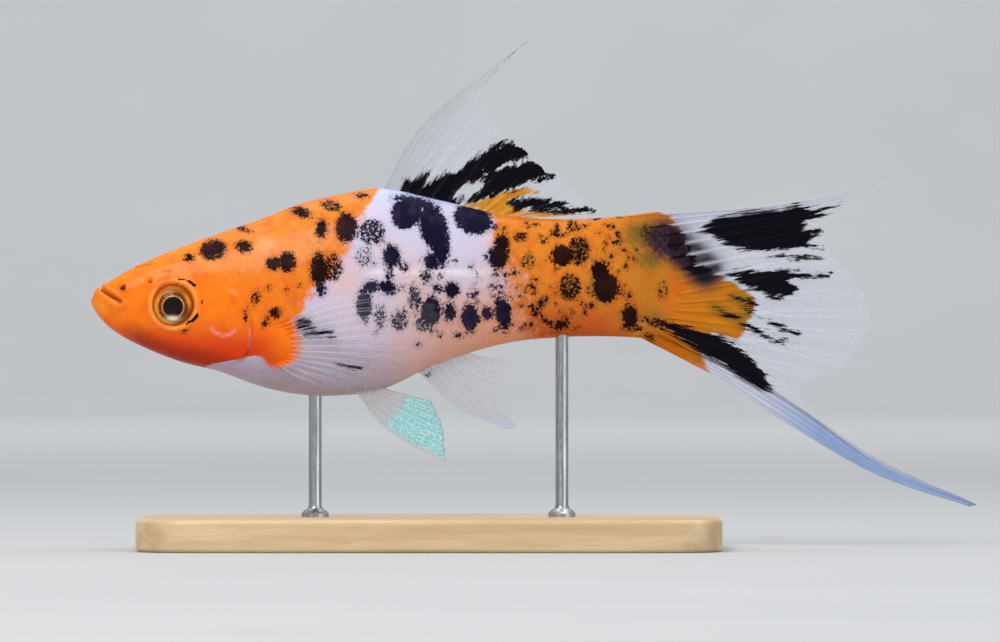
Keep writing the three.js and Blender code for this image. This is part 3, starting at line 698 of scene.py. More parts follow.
def body_colours(t, height, side):
    """What the skin and the scales carry: two tints, and how white, dark, olive and smoky each place is."""
    shift = np.where(side > 0, FAR_SHIFT, 0.0)
    mark_t = t + shift * np.sin(height * 0.45)
    mark_h = height + shift * 0.7 * np.cos(t * 0.3)
    specks = random_specks(SPECKS, SPECK_AREA, SPECK_SEED)
    front_specks = random_specks(FRONT_SPECKS, FRONT_SPECK_AREA, FRONT_SPECK_SEED)
    dark = mark_depth(mark_t, mark_h, BODY_MARKS + specks + front_specks)
    for line, width in INK_LINES:
        inside = width - line_distance(t, height, from_photo(line))
        dark = np.maximum(dark, np.clip(inside * 6, LEAST_DEPTH, SOLID))
    return {
        "warm": warm_tint(t, height),
        "pale": pale_tint(t, height),
        "white": whiteness(t, height),
        "dark": dark,
        "olive": mark_depth(mark_t, mark_h, tuple(mark + (SOLID,) for mark in OLIVE_MARKS)),
        "smoke": smoke_share(mark_t, mark_h),
    }


def relief(t, height, side):
    """How far each place stands out of the plain body, in millimetres, and how much painted crease shade or
    dark line it carries.
    """
    flank = np.abs(side) > 0.6
    eye = away_from(t, height, EYE_CENTRE)
    eye_turn = np.arctan2(height - EYE_CENTRE[1], t - EYE_CENTRE[0])
    brow = 0.24 + 0.12 * np.clip(np.sin(eye_turn), 0, 1)
    out = np.where(flank, brow * bell(eye - BROW_RING, 0.42), 0)
    out -= np.where(flank, SOCKET_DEPTH * smooth_step(eye, *SOCKET_WALL), 0)
    # Painted shade in the crease round the eye socket
    crease_shade_and_lines = np.where(flank, bell(eye - SOCKET_CREASE, 0.14), 0)

    mouth = line_distance(t, height, MOUTH_LINE)
    above = height > np.interp(t, *zip(*MOUTH_LINE))
    fade = smooth_step(t, *MOUTH_CORNER)
    rolls = zip(UPPER_LIP_ROLL, LOWER_LIP_ROLL)
    lip_height, lip_width, lip_middle = (np.where(above, upper, lower) for upper, lower in rolls)
    out += fade * lip_height * bell(mouth - lip_middle, lip_width)
    # Painted shade in the mouth's slit
    gap = bell(mouth, MOUTH_GAP)
    out -= fade * MOUTH_DEPTH * gap
    crease_shade_and_lines = np.maximum(crease_shade_and_lines, fade * gap)
    for line, depth, width in HEAD_FOLDS:
        out -= depth * bell(line_distance(t, height, line), width)
    for nostril in NOSTRILS:
        away = away_from(t, height, nostril)
        hole = bell(away, NOSTRIL_HOLE)
        out += 0.10 * bell(away - NOSTRIL_RIM, 0.16) - NOSTRIL_DEPTH * hole
        # Painted shade in the nostril holes
        crease_shade_and_lines = np.maximum(crease_shade_and_lines, 0.9 * hole)

    cover = outline_depth(t, height, smooth_outline(GILL_OUTLINE, 6))
    rear = smooth_step(t, 16.2, 19.0)
    throat = smooth_step(np.abs(side), 0.5, 1.2)
    out += throat * GILL_STEP * smooth_step(cover, -0.14, 0.14 + 2.2 * (1 - rear))
    groove = bell(cover + 0.22, 0.14) * rear * throat * smooth_step(height, 1.6, -0.6)
    out -= 0.13 * groove
    # Painted shade in the gill cover's groove
    crease_shade_and_lines = np.maximum(crease_shade_and_lines, 0.3 * groove)
    # The head's fine dark lines, its own colour
    for line, strength, width in DARK_LINES:
        away = line_distance(t, height, from_photo(line))
        crease_shade_and_lines = np.maximum(crease_shade_and_lines, strength * bell(away, width))
    out += np.where(flank, LOBE_RISE * smooth_step(oval(t, height, *FIN_LOBE), 1.0, 0.2), 0)
    return out, crease_shade_and_lines


# Mesh helpers

def deselect():
    if bpy.context.object is not None and bpy.context.object.mode != "OBJECT":
        bpy.ops.object.mode_set(mode="OBJECT")
    bpy.ops.object.select_all(action="DESELECT")


def made(name):
    """The object that an operator has just added, under its own name."""
    piece = bpy.context.object
    piece.name = name
    piece.data.name = name
    return piece


def read_points(piece):
    points = np.empty(len(piece.data.vertices) * 3)
    piece.data.vertices.foreach_get("co", points)
    return points.reshape(-1, 3)


def write_points(piece, points):
    piece.data.vertices.foreach_set("co", np.ascontiguousarray(points, np.float32).ravel())
    piece.data.update()


def store(piece, name, values):
    """Keeps a number, a vector or a colour at each corner of a mesh."""
    values = np.asarray(values, np.float32)
    if values.ndim == 1:
        layer = piece.data.attributes.new(name, "FLOAT", "POINT")
        layer.data.foreach_set("value", values)
        return
    layer = piece.data.attributes.new(name, "FLOAT_VECTOR", "POINT")
    layer.data.foreach_set("vector", np.ascontiguousarray(values).ravel())


def finish_piece(piece, material, nodes=(), sharp_from=None):
    """Shades a piece, dresses it, hangs it on what it rides on and hides the nodes that it stands for."""
    bpy.context.view_layer.objects.active = piece
    piece.select_set(True)
    if sharp_from is None:
        bpy.ops.object.shade_smooth()
    else:
        bpy.ops.object.shade_smooth_by_angle(angle=math.radians(sharp_from))
    piece.data.materials.clear()
    piece.data.materials.append(material)
    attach(piece, BODY)
    if nodes:
        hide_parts(*nodes)
    deselect()


def apply_modifiers(piece):
    bpy.context.view_layer.objects.active = piece
    piece.select_set(True)
    for modifier in list(piece.modifiers):
        bpy.ops.object.modifier_apply(modifier=modifier.name)


def store_body_colours(piece, t, height, side):
    for name, values in body_colours(t, height, side).items():
        store(piece, name, values)


def shared(name, make, *options):
    """The material of this name, made when it is first asked for."""
    return bpy.data.materials.get(name) or make(name, *options)


# Shader helpers

class Shader:
    """A material's nodes, added one by one and joined as they are added."""

    def __init__(self, name):
        self.material = bpy.data.materials.new(name)
        self.material.use_nodes = True
        self.tree = self.material.node_tree
        self.tree.nodes.clear()
        self.output = self.tree.nodes.new("ShaderNodeOutputMaterial")

    def feed(self, socket, value):
        """Joins another node's output to a socket, or sets the socket's own value."""
        if isinstance(value, bpy.types.NodeSocket):
            self.tree.links.new(value, socket)
        elif isinstance(value, (tuple, list)) and len(value) == 3 and socket.type == "RGBA":
            socket.default_value = (*value, 1)
        else:
            socket.default_value = value

    def node(self, kind, settings=None, **inputs):
        """A new node with its settings and with what goes into its named sockets."""
        node = self.tree.nodes.new(kind)
        for name, value in (settings or {}).items():
            setattr(node, name, value)
        for name, value in inputs.items():
            self.feed(node.inputs[name.replace("_", " ")], value)
        return node

    def value(self, name):
        return self.node("ShaderNodeAttribute", {"attribute_name": name}).outputs["Fac"]

    def vector(self, name):
        return self.node("ShaderNodeAttribute", {"attribute_name": name}).outputs["Vector"]

    def place(self):
        return self.node("ShaderNodeTexCoord").outputs["Object"]

    def stretched(self, source, scale, turn=(0, 0, 0)):
        node = self.node("ShaderNodeMapping", None, Vector=source, Scale=scale, Rotation=turn)
        return node.outputs["Vector"]

    def noise(self, source, scale, detail=2.0, rough=0.5, output="Fac"):
        inputs = {"Vector": source, "Scale": scale, "Detail": detail, "Roughness": rough}
        return self.node("ShaderNodeTexNoise", None, **inputs).outputs[output]

    def cells(self, source, scale):
        node = self.node("ShaderNodeTexVoronoi", {"feature": "F1"}, Vector=source, Scale=scale)
        return node.outputs["Distance"]

    def sum(self, operation, a, b=0.0):
        node = self.tree.nodes.new("ShaderNodeMath")
        node.operation = operation
        self.feed(node.inputs[0], a)
        self.feed(node.inputs[1], b)
        return node.outputs[0]

    def wobble(self, base, noise, amount):
        """A number moved up and down by a noise that runs from 0 to 1."""
        centred = self.sum("SUBTRACT", noise, 0.5)
        return self.sum("ADD", base, self.sum("MULTIPLY", centred, amount))

    def step(self, value, low, high, start=0.0, end=1.0):
        """A smooth change from start to end while the value goes from low to high."""
        node = self.node("ShaderNodeMapRange", {"interpolation_type": "SMOOTHSTEP"})
        for index, part in enumerate((value, low, high, start, end)):
            self.feed(node.inputs[index], part)
        return node.outputs[0]

    def blend(self, share, a, b, way="MIX"):
        node = self.tree.nodes.new("ShaderNodeMix")
        node.data_type = "RGBA"
        node.blend_type = way
        self.feed(node.inputs["Factor"], share)
        self.feed(node.inputs[6], a)
        self.feed(node.inputs[7], b)
        return node.outputs[2]

    def bump(self, height, depth, strength=1.0):
        node = self.node("ShaderNodeBump", None, Strength=strength, Distance=depth, Height=height)
        return node.outputs["Normal"]

    def surface(self, colour, **sockets):
        node = self.tree.nodes.new("ShaderNodeBsdfPrincipled")
        self.feed(node.inputs["Base Color"], colour)
        for name, value in sockets.items():
            self.feed(node.inputs[name.replace("_", " ")], value)
        self.tree.links.new(node.outputs[0], self.output.inputs["Surface"])
        return self.material


def skin_material(name, on_scales):
    """Wet skin: orange or white, with olive, smoky and black marks whose edges are ragged."""
    shader = Shader(name)
    place = shader.place()
    broad = shader.noise(place, 420, 3)
    middling = shader.noise(place, 1700, 4, 0.6)
    fine = shader.noise(place, 6500, 3, 0.6)

    white = shader.wobble(shader.wobble(shader.value("white"), broad, 1.1), middling, 0.9)
    colour = shader.blend(shader.step(white, -0.25, 0.35), shader.vector("warm"), shader.vector("pale"))
    clouds = shader.noise(place, 900, output="Color")
    mottled = shader.blend(0.28, colour, clouds, "SOFT_LIGHT")
    spots = shader.step(shader.noise(place, 9000, 2, 0.7), 0.6, 0.72, 0.0, 0.3)
    not_white = shader.step(white, 0.2, -0.4)
    mottled = shader.blend(shader.sum("MULTIPLY", spots, not_white), mottled, FRECKLE)
    flush = shader.sum("MULTIPLY", shader.step(broad, 0.45, 0.75, 0.0, 0.4), not_white)
    mottled = shader.blend(flush, mottled, THROAT_RED)
    olive = shader.wobble(shader.value("olive"), middling, 1.6)
    colour = shader.blend(shader.step(olive, -0.2, 1.5, 0.0, 0.75), mottled, OLIVE)

    smoke = shader.wobble(shader.value("smoke"), middling, 0.45)
    smoky = shader.step(smoke, 0.02, 0.8, 0.0, 0.97)
    colour = shader.blend(smoky, colour, SMOKE)
    if on_scales:
        # Painted light on each scale: a highlight along its rear rim, and shade at its root, where the
        # scale in front overlaps it
        rim = shader.value("rim")
        colour = shader.blend(shader.step(rim, 0.7, 1.0, 0.0, 0.03), colour, SCALE_RIM_HIGHLIGHT)
        colour = shader.blend(shader.step(rim, 0.35, 0.05, 0.0, 0.05), colour, SCALE_ROOT_SHADE)
    ragged = shader.noise(place, 2700, 4, 0.65)
    dark = shader.wobble(shader.wobble(shader.value("dark"), ragged, 1.6), fine, 1.0)
    on_white = shader.step(white, -0.3, 0.4)
    ink = shader.blend(on_white, INK_BROWN, INK_NAVY)
    worn = shader.blend(on_white, WORN_BROWN, WORN_NAVY)
    ink = shader.blend(shader.step(broad, 0.45, 0.7, 0.0, 0.45), ink, worn)
    halo = shader.step(dark, -0.5, 0.05, 0.0, 0.3)
    colour = shader.blend(halo, colour, INK_BROWN)
    inked = shader.step(dark, -0.05, 0.08)
    colour = shader.blend(inked, colour, ink)
    dull = shader.sum("MAXIMUM", smoky, inked)
    if not on_scales:
        # Painted shade in the mouth's slit, the nostrils, the eye socket and the gill groove, with the
        # head's fine dark lines
        crease_shade_and_lines = shader.sum("MULTIPLY", shader.value("crease_shade_and_lines"), 0.82)
        colour = shader.blend(crease_shade_and_lines, colour, SHADE_AND_LINE_BROWN)

    ripple = shader.noise(shader.stretched(place, (900, 900, 2600)), 1.0, 2)
    pores = shader.cells(place, 5200)
    height = shader.sum("ADD", shader.sum("MULTIPLY", ripple, 0.5), shader.sum("ADD", fine, pores))
    return shader.surface(
        colour,
        Roughness=shader.step(middling, 0.2, 0.8, 0.36, 0.5),
        IOR=1.38,
        Specular_IOR_Level=shader.step(dull, 0.0, 1.0, 0.14, 0.05),
        Coat_Weight=shader.step(dull, 0.0, 1.0, 0.22, 0.03),
        Coat_Roughness=0.12,
        Subsurface_Weight=shader.step(dull, 0.0, 1.0, 0.12, 0.02),
        Subsurface_Radius=(1.0, 0.42, 0.26),
        Subsurface_Scale=0.0012,
        Normal=shader.bump(height, 0.00004, 0.7),
    )


def fin_material(name, sparkle=False):
    """A clear membrane with paler rays, a coloured root, black streaks and, on some fins, a turquoise patch
    with painted glints.
    """
    shader = Shader(name)
    flow = shader.vector("flow")
    place = shader.place()
    streaks = shader.noise(shader.stretched(flow, (2.6, 0.9, 1)), 1.0, 4, 0.7)
    fine = shader.noise(shader.stretched(flow, (14, 5, 1)), 1.0, 3, 0.6)
    grain = shader.noise(place, 4200, 2)
    ray = shader.value("ray")

    colour = shader.blend(shader.sum("MULTIPLY", ray, 0.45), shader.vector("tint"), RAY_WHITE)
    colour = shader.blend(shader.step(fine, 0.35, 0.75, 0.0, 0.3), colour, FOLD_GREY)
    warm = shader.wobble(shader.wobble(shader.value("warm_depth"), streaks, 3.0), fine, 1.2)
    warm_share = shader.step(warm, -0.25, 0.35)
    deeper = shader.step(streaks, 0.42, 0.7, 0.0, 0.8)
    rich = shader.blend(deeper, shader.vector("warm"), STREAK_TAN, "MULTIPLY")
    colour = shader.blend(warm_share, colour, rich)
    crisp = shader.sum("POWER", ray, 1.8)
    cover = shader.sum("MULTIPLY", shader.value("cover"), shader.step(streaks, 0.3, 0.7, 0.72, 1.25))
    cover = shader.sum("ADD", cover, shader.sum("MULTIPLY", crisp, shader.value("ray_cover")))
    cover = shader.sum("ADD", cover, shader.sum("MULTIPLY", warm_share, 0.7))
    if sparkle:
        glints = shader.noise(shader.stretched(flow, (15, 8, 1)), 1.0, 3, 0.8)
        bands = shader.noise(shader.stretched(flow, (6, 2.2, 1)), 1.0, 3, 0.7)
        shine = shader.step(shader.wobble(shader.value("shine"), bands, 1.4), 0.25, 0.75)
        bright = shader.blend(shader.step(bands, 0.46, 0.62), TURQUOISE, LILAC)
        # Painted glints: ice-white sparkle over the turquoise
        bright = shader.blend(shader.step(glints, 0.44, 0.58), bright, PAINTED_GLINT_ICE)
        colour = shader.blend(shader.sum("MULTIPLY", shine, 0.9), colour, bright)
        cover = shader.sum("ADD", cover, shader.sum("MULTIPLY", shine, 0.5))
    dark = shader.wobble(shader.wobble(shader.value("dark"), streaks, 3.4), fine, 1.4)
    dark = shader.wobble(dark, grain, 0.4)
    dark_share = shader.step(dark, -0.18, 0.2)
    colour = shader.blend(dark_share, colour, INK)
    cover = shader.sum("MAXIMUM", cover, shader.sum("MAXIMUM", dark_share, 0.015))
    cover = shader.sum("MINIMUM", cover, 1.0)
    return shader.surface(
        colour,
        Roughness=shader.step(fine, 0.2, 0.8, 0.36, 0.52),
        IOR=1.38,
        Specular_IOR_Level=shader.step(dark, -0.18, 0.2, 0.25, 0.08),
        Alpha=cover,
        Normal=shader.bump(fine, 0.00002, 0.5),
    )


def eye_material(name):
    shader = Shader(name)
    radius = shader.value("from_pupil")
    turn = shader.vector("iris_flow")
    fibres = shader.noise(shader.stretched(turn, (9, 2.5, 1)), 1.0, 3, 0.6)
    shade = shader.value("iris_painted_shade")
    amber = shader.blend(shader.step(fibres, 0.35, 0.65), IRIS_BROWN, IRIS_AMBER)
    pale_ring = shader.step(shader.wobble(radius, fibres, 0.2), *PALE_RING)
    amber = shader.blend(shader.sum("MULTIPLY", pale_ring, 0.9), amber, IRIS_PALE)
    # Painted shade over the iris's top, and a darker lower rear
    amber = shader.blend(shade, amber, IRIS_PAINTED_SHADE)
    gold = shader.blend(shader.step(fibres, 0.35, 0.6), IRIS_GOLD, IRIS_BRONZE)
    gold_end = shader.step(shader.wobble(radius, fibres, 0.16), *GOLD_RING_END)
    colour = shader.blend(gold_end, gold, amber)
    colour = shader.blend(shader.step(radius, *IRIS_RIM), colour, IRIS_EDGE)
    edge = shader.wobble(radius, fibres, 0.05)
    pupil = shader.step(edge, PUPIL_RADIUS + 0.03, PUPIL_RADIUS - 0.05)
    colour = shader.blend(pupil, colour, PUPIL_BLACK)
    # Painted catch light: a cream glint below the pupil
    colour = shader.blend(shader.value("painted_catch_light"), colour, PAINTED_GLINT_CREAM)
    return shader.surface(
        colour,
        Roughness=0.3,
        Specular_IOR_Level=0.15,
        Metallic=shader.step(radius, 1.3, 1.5, 0.0, 0.1),
        Normal=shader.bump(fibres, 0.00002, 0.4),
    )


def cornea_material(name):
    shader = Shader(name)
    cloud = shader.noise(shader.place(), 700, 2)
    return shader.surface(
        CORNEA_CLEAR,
        Roughness=shader.step(cloud, 0.2, 0.8, 0.0, 0.03),
        IOR=1.3,
        Alpha=0.5,
        Transmission_Weight=1.0,
    )


def wood_material(name):
    shader = Shader(name)
    place = shader.place()
    warp = shader.noise(place, 60, 3)
    grain = shader.noise(shader.stretched(place, (18, 260, 260)), shader.wobble(1.0, warp, 0.1), 5, 0.62)
    pores = shader.noise(shader.stretched(place, (240, 3600, 3600)), 1.0, 2, 0.5)
    bands = shader.step(grain, 0.32, 0.68)
    colour = shader.blend(bands, MAPLE_PALE, MAPLE_DARK)
    colour = shader.blend(shader.step(pores, 0.6, 0.8, 0.0, 0.35), colour, MAPLE_PORE)
    height = shader.sum("ADD", grain, shader.sum("MULTIPLY", pores, -0.6))
    return shader.surface(
        colour,
        Roughness=shader.step(grain, 0.3, 0.7, 0.42, 0.56),
        Coat_Weight=0.15,
        Coat_Roughness=0.35,
        Normal=shader.bump(height, 0.00006, 0.5),
    )


def steel_material(name):
    shader = Shader(name)
    place = shader.place()
    lines = shader.noise(shader.stretched(place, (6000, 6000, 220)), 1.0, 3, 0.6)
    marks = shader.noise(place, 800, 3)
    colour = shader.blend(shader.step(lines, 0.3, 0.7), STEEL_PALE, STEEL_DARK)
    return shader.surface(
        colour,
        Metallic=1.0,
        Roughness=shader.step(marks, 0.25, 0.75, 0.24, 0.36),
        Normal=shader.bump(lines, 0.00001, 0.6),
    )


# The skin, the scales and the eyes

def skin_rings():
    """How far behind the snout each ring is, its size, and how far its end rounds out."""
    rings = []
    for i in range(1, SNOUT_CAP_RINGS + 1):
        turn = i / SNOUT_CAP_RINGS * math.pi / 2
        rings.append((SNOUT_ROUNDING * (1 - math.cos(turn)), math.sin(turn)))
    for i in range(1, HEAD_RINGS + 1):
        rings.append((SNOUT_ROUNDING + (HEAD_END - SNOUT_ROUNDING) * i / HEAD_RINGS, 1.0))
    for i in range(1, TRUNK_RINGS + 1):
        rings.append((HEAD_END + (BODY_END - HEAD_END) * i / TRUNK_RINGS, 1.0))
    for i in range(1, TAIL_CAP_RINGS):
        turn = i / TAIL_CAP_RINGS * math.pi / 2
        rings.append((BODY_END + TAIL_ROUNDING * math.sin(turn), math.cos(turn)))
    return np.array(rings)


def make_skin():
    rings = skin_rings()
    count = len(rings) + 1
    deselect()
    bpy.ops.mesh.primitive_uv_sphere_add(segments=SKIN_SIDES, ring_count=count, radius=1)
    skin = made("fish_skin")
    sphere = read_points(skin)
    row = np.rint(np.arccos(np.clip(sphere[:, 2], -1, 1)) / math.pi * count).astype(int)
    from_snout = np.clip(len(rings) - row, 0, len(rings) - 1)
    t = rings[from_snout, 0]
    size = rings[from_snout, 1]
    at_snout = row == count
    at_tail = row == 0
    t = np.where(at_snout, 0.0, np.where(at_tail, BODY_END + TAIL_ROUNDING, t))
    size = np.where(at_snout | at_tail, 0.0, size)
    turn = np.arctan2(sphere[:, 1], sphere[:, 0])
    side, height = body_point(t, turn, 0.0, size)
    out, crease_shade_and_lines = relief(t, height, side)
    side, raised = body_point(t, turn, out * size, size)
    write_points(skin, to_world(t, side, raised))
    store_body_colours(skin, t, height, side)
    store(skin, "crease_shade_and_lines", crease_shade_and_lines)
    finish_piece(skin, skin_material("skin_wet", False), FLESH_NODES)


def scale_places(sizes):
    """The middle of each scale, in rows that are staggered like roof tiles."""
    places = []
    t = FIRST_SCALE
    row = 0
    while t < LAST_SCALE:
        step = sizes.scale_length * (1.0 - 0.22 * smooth_step(t, 40, 72))
        for k in range(sizes.scale_rows):
            turn = 2 * math.pi * (k + 0.5 * (row % 2)) / sizes.scale_rows
            places.append((t, turn, step, 2 * math.pi / sizes.scale_rows))
        t += step * 0.5
        row += 1
    return np.array(places)


def make_scales(name, side_sign, sizes):
    """Lays one flank's scales, all copies of one tile that is bent to the body and given a thickness."""
    deselect()
    bpy.ops.mesh.primitive_grid_add(x_subdivisions=5, y_subdivisions=4, size=2)
    tile = made("scale_tile")
    grid = read_points(tile)[:, :2]
    faces = [tuple(face.vertices) for face in tile.data.polygons]
    bpy.data.objects.remove(tile)

    run = grid[:, 0]
    rounding = np.sqrt(np.clip(1 - np.clip(run, 0, 1) ** 2.6, 0.02, 1))
    spread = grid[:, 1] * rounding * (0.8 + 0.2 * smooth_step(run, -1, 0))
    places = scale_places(sizes)
    behind = places[:, 0]
    middle_height = body_point(behind, places[:, 1])[1]
    on_gill = outline_depth(behind, middle_height, smooth_outline(GILL_OUTLINE, 6)) > -1.1
    on_lobe = oval(behind, middle_height, *FIN_LOBE) < 1.0
    before_gill = behind < np.interp(middle_height, *zip(*SCALES_FROM))
    keep = ~(on_gill | before_gill | on_lobe) & (np.cos(places[:, 1]) * side_sign > 0)
    places = places[keep]

    t = places[:, 0:1] + run[None, :] * places[:, 2:3] * SCALE_OVERLAP
    turn = places[:, 1:2] + spread[None, :] * places[:, 3:4] * SCALE_SPREAD
    draw = np.random.default_rng(3)
    uneven = draw.uniform(0.75, 1.25, (len(places), 1))
    lift = sizes.scale_lift * uneven * smooth_step(places[:, 0:1], 15, 26)
    raise_by = -SCALE_SINK + (lift + SCALE_SINK) * smooth_step(run[None, :], -1.0, 0.7)
    raise_by = raise_by - 0.02 * np.abs(spread[None, :]) ** 3
    past_end = np.clip(1 - ((t - BODY_END) / TAIL_ROUNDING) ** 2, 0.03, 1)
    size = np.where(t > BODY_END, np.sqrt(past_end), 1.0)
    side, height = body_point(t, turn, raise_by, size)
    points = to_world(t, side, height).reshape(-1, 3)
    count = len(grid)
    mesh = bpy.data.meshes.new(name)
    all_faces = [tuple(v + i * count for v in face) for i in range(len(places)) for face in faces]
    mesh.from_pydata(points.tolist(), [], all_faces)
    scales = bpy.data.objects.new(name, mesh)
    bpy.context.scene.collection.objects.link(scales)
    store_body_colours(scales, t.ravel(), height.ravel(), side.ravel())
    rim = np.hypot(np.clip(run, 0, 1), grid[:, 1]) * smooth_step(run, -0.6, 0.1)
    store(scales, "rim", np.tile(np.clip(rim, 0, 1), len(places)))

    uv = mesh.uv_layers.new(name="OFBake")
    corners = np.empty(len(mesh.loops), int)
    mesh.loops.foreach_get("vertex_index", corners)
    root_u = np.repeat(places[:, 0] / 80, count)
    root_v = np.repeat((places[:, 1] / (2 * math.pi)) % 1.0 * 0.9 + 0.05, count)
    local = np.tile(grid * 0.5, (len(places), 1)) * SCALE_PATCH
    flat = np.stack((root_u + local[:, 0], root_v + local[:, 1]), axis=-1)
    uv.data.foreach_set("uv", flat[corners].astype(np.float32).ravel())

    thicken = scales.modifiers.new("thickness", "SOLIDIFY")
    thicken.thickness = sizes.scale_thickness * MM
    thicken.offset = -1
    apply_modifiers(scales)
    finish_piece(scales, shared("scale_wet", skin_material, True), sharp_from=35)


def eye_shape(name, side_sign, segments, rings, wide, deep):
    """A ball flattened to the eye's place, and where each of its points is."""
    deselect()
    bpy.ops.mesh.primitive_uv_sphere_add(segments=segments, ring_count=rings, radius=1)
    piece = made(name)
    ball = read_points(piece)
    t = EYE_CENTRE[0] + wide * ball[:, 0]
    height = EYE_CENTRE[1] + wide * ball[:, 1]
    out = EYE_OFFSET + deep * ball[:, 2]
    if side_sign > 0:
        piece.data.flip_normals()
    return piece, ball, t, height, out


def make_eye(name, side_sign, node):
    eye, ball, t, height, out = eye_shape(name, side_sign, 72, 48, EYE_RADIUS, EYE_HALF_DEPTH)
    radius = away_from(t, height, PUPIL_CENTRE)
    turn = np.arctan2(height - PUPIL_CENTRE[1], t - PUPIL_CENTRE[0])
    dished = -0.05 * bell(radius - 1.62, 0.12) + 0.04 * smooth_step(radius, 1.45, 1.2)
    out = out + np.where(ball[:, 2] > 0, dished, 0)
    write_points(eye, to_world(t, side_sign * out, height))
    store(eye, "from_pupil", radius)
    store(eye, "iris_flow", np.stack((turn, radius, np.zeros_like(radius)), axis=-1))
    # The iris darkened at its top as painted shade, and at its lower rear
    upper = smooth_step(np.sin(turn), 0.35, 0.95)
    lower_rear = smooth_step(np.cos(turn + 0.75), 0.55, 0.98)
    shade = np.clip(0.62 * upper + 0.7 * lower_rear, 0, 1)
    store(eye, "iris_painted_shade", shade * smooth_step(radius, 1.6, 1.9))
    # A painted catch light: a cream glint below the pupil, painted into the iris colour
    store(eye, "painted_catch_light", np.clip(1.3 * bell(oval(t, height, *PAINTED_GLINT_SPOT), 1), 0, 1))
    finish_piece(eye, shared("eye_wet", eye_material), (node,))


def make_cornea(name, side_sign):
    wide = EYE_RADIUS + 0.02
    deep = EYE_HALF_DEPTH + 0.16
    cornea, _, t, height, out = eye_shape(name, side_sign, 64, 40, wide, deep)
    write_points(cornea, to_world(t, side_sign * out, height))
    finish_piece(cornea, shared("cornea_clear", cornea_material))


# Fins

def spread_rays(keys, places, v, sink):
    """The places on a fin of each column of points, from its root, sunk into the body, to its tip."""
    keys = np.array(keys, float)
    reach = keys[:, 1] - keys[:, 0]
    keys[:, 0] -= sink * reach / np.linalg.norm(reach, axis=1, keepdims=True)
    by_point = np.broadcast_to(keys.transpose(1, 0, 2), (len(places), *keys.transpose(1, 0, 2).shape))
    column_places = np.broadcast_to(places[:, None], by_point.shape[:2])
    lines = smooth_run(by_point, column_places)
    lines = np.broadcast_to(lines[:, None], (len(places), v.shape[1], *lines.shape[1:]))
    return smooth_run(lines, v)


def ray_ridges(across, v, rays):
    """How high the ray stands at each place: one stem at the root that forks twice before the margin."""
    fork = 0.17 * smooth_step(v, 0.22, 0.62)
    twig = 0.075 * smooth_step(v, 0.6, 0.95)
    width = 0.15 - 0.085 * smooth_step(v, 0.1, 0.8)
    nearest = np.rint(across)
    height = np.zeros(across.shape)
    for near in (nearest - 1, nearest, nearest + 1):
        for first in (-1, 1):
            for second in (-1, 1):
                middle = near + first * fork + second * twig
                inside = (near >= 0) & (near <= rays - 1)
                height = np.maximum(height, np.where(inside, bell(across - middle, width), 0))
    return height


def fin_sheet(name, keys, rays, rows, offset, sizes, sink=0.9, columns_per_ray=12, fray=0.02, seed=1):
    """A fin's middle sheet, from a flat grid, and the numbers that its colours need."""
    deselect()
    columns = (rays - 1) * columns_per_ray + 1
    bpy.ops.mesh.primitive_grid_add(x_subdivisions=columns - 1, y_subdivisions=rows - 1, size=2)
    fin = made(name)
    grid = read_points(fin)
    column = np.rint((grid[:, 0] + 1) / 2 * (columns - 1)).astype(int)
    row = np.rint((grid[:, 1] + 1) / 2 * (rows - 1)).astype(int)
    places = np.linspace(0, 1, columns)
    across = places * (rays - 1)
    draw = np.random.default_rng(seed)
    lengths = 1 - draw.uniform(0, fray, rays)
    lengths[0] = 1.0
    between = np.abs(across - np.rint(across)) * 2
    stop = np.interp(across, np.arange(rays), lengths) - fray * between ** 2 * np.minimum(across, 1)
    nibble = draw.uniform(0, fray * 0.6, columns) * np.minimum(across, 1)
    stop = stop - nibble
    v = np.linspace(0, 1, rows)[None, :] * stop[:, None]
    spots = spread_rays(keys, places, v, sink)
    t = spots[column, row, 0]
    height = spots[column, row, 1]
    along = v[column, row]
    u = across[column]
    side = offset(t, height, along, places[column])
    ray = ray_ridges(u, along, rays)
    write_points(fin, to_world(t, side, height))

    taper = 1 - 0.7 * smooth_step(along, 0.15, 1.0)
    thickness = sizes.membrane + sizes.ray_height * ray * taper + 0.25 * smooth_step(along, 0.12, 0.0)
    greatest = float(thickness.max())
    level = np.rint(thickness / greatest * THICKNESS_STEPS).astype(int)
    group = fin.vertex_groups.new(name="thickness")
    for step in np.unique(level):
        group.add(np.nonzero(level == step)[0].tolist(), step / THICKNESS_STEPS, "REPLACE")
    thicken = fin.modifiers.new("thickness", "SOLIDIFY")
    thicken.thickness = greatest * MM
    thicken.offset = 0
    thicken.vertex_group = group.name
    thicken.use_even_offset = False
    store(fin, "flow", np.stack((u, along * 4, np.zeros_like(u)), axis=-1))
    store(fin, "ray", ray * (1 - 0.35 * along))
    return fin, t, height, along, u


def close_fin(fin, material, nodes):
    """Turns a fin's sheet into a solid and finishes it."""
    apply_modifiers(fin)
    fin.vertex_groups.clear()
    finish_piece(fin, material, nodes)


def fin_colours(fin, tint, cover, ray_cover, dark=NO_MARK, warm=CLEAR_LILAC, warm_depth=NO_MARK):
    """Keeps what a fin's colours need, each as one value or as one for each point."""
    count = len(cover)
    for name, colour in (("tint", tint), ("warm", warm)):
        store(fin, name, np.broadcast_to(colour, (count, 3)))
    numbers = {"cover": cover, "ray_cover": ray_cover, "dark": dark, "warm_depth": warm_depth}
    for name, number in numbers.items():
        store(fin, name, np.broadcast_to(number, count))


def deepest(t, height, outlines):
    """How deep each place is inside the nearest of several outlines, in millimetres."""
    depth = np.full(t.shape, NO_MARK)
    for outline in outlines:
        depth = np.maximum(depth, outline_depth(t, height, from_photo(outline)))
    return depth


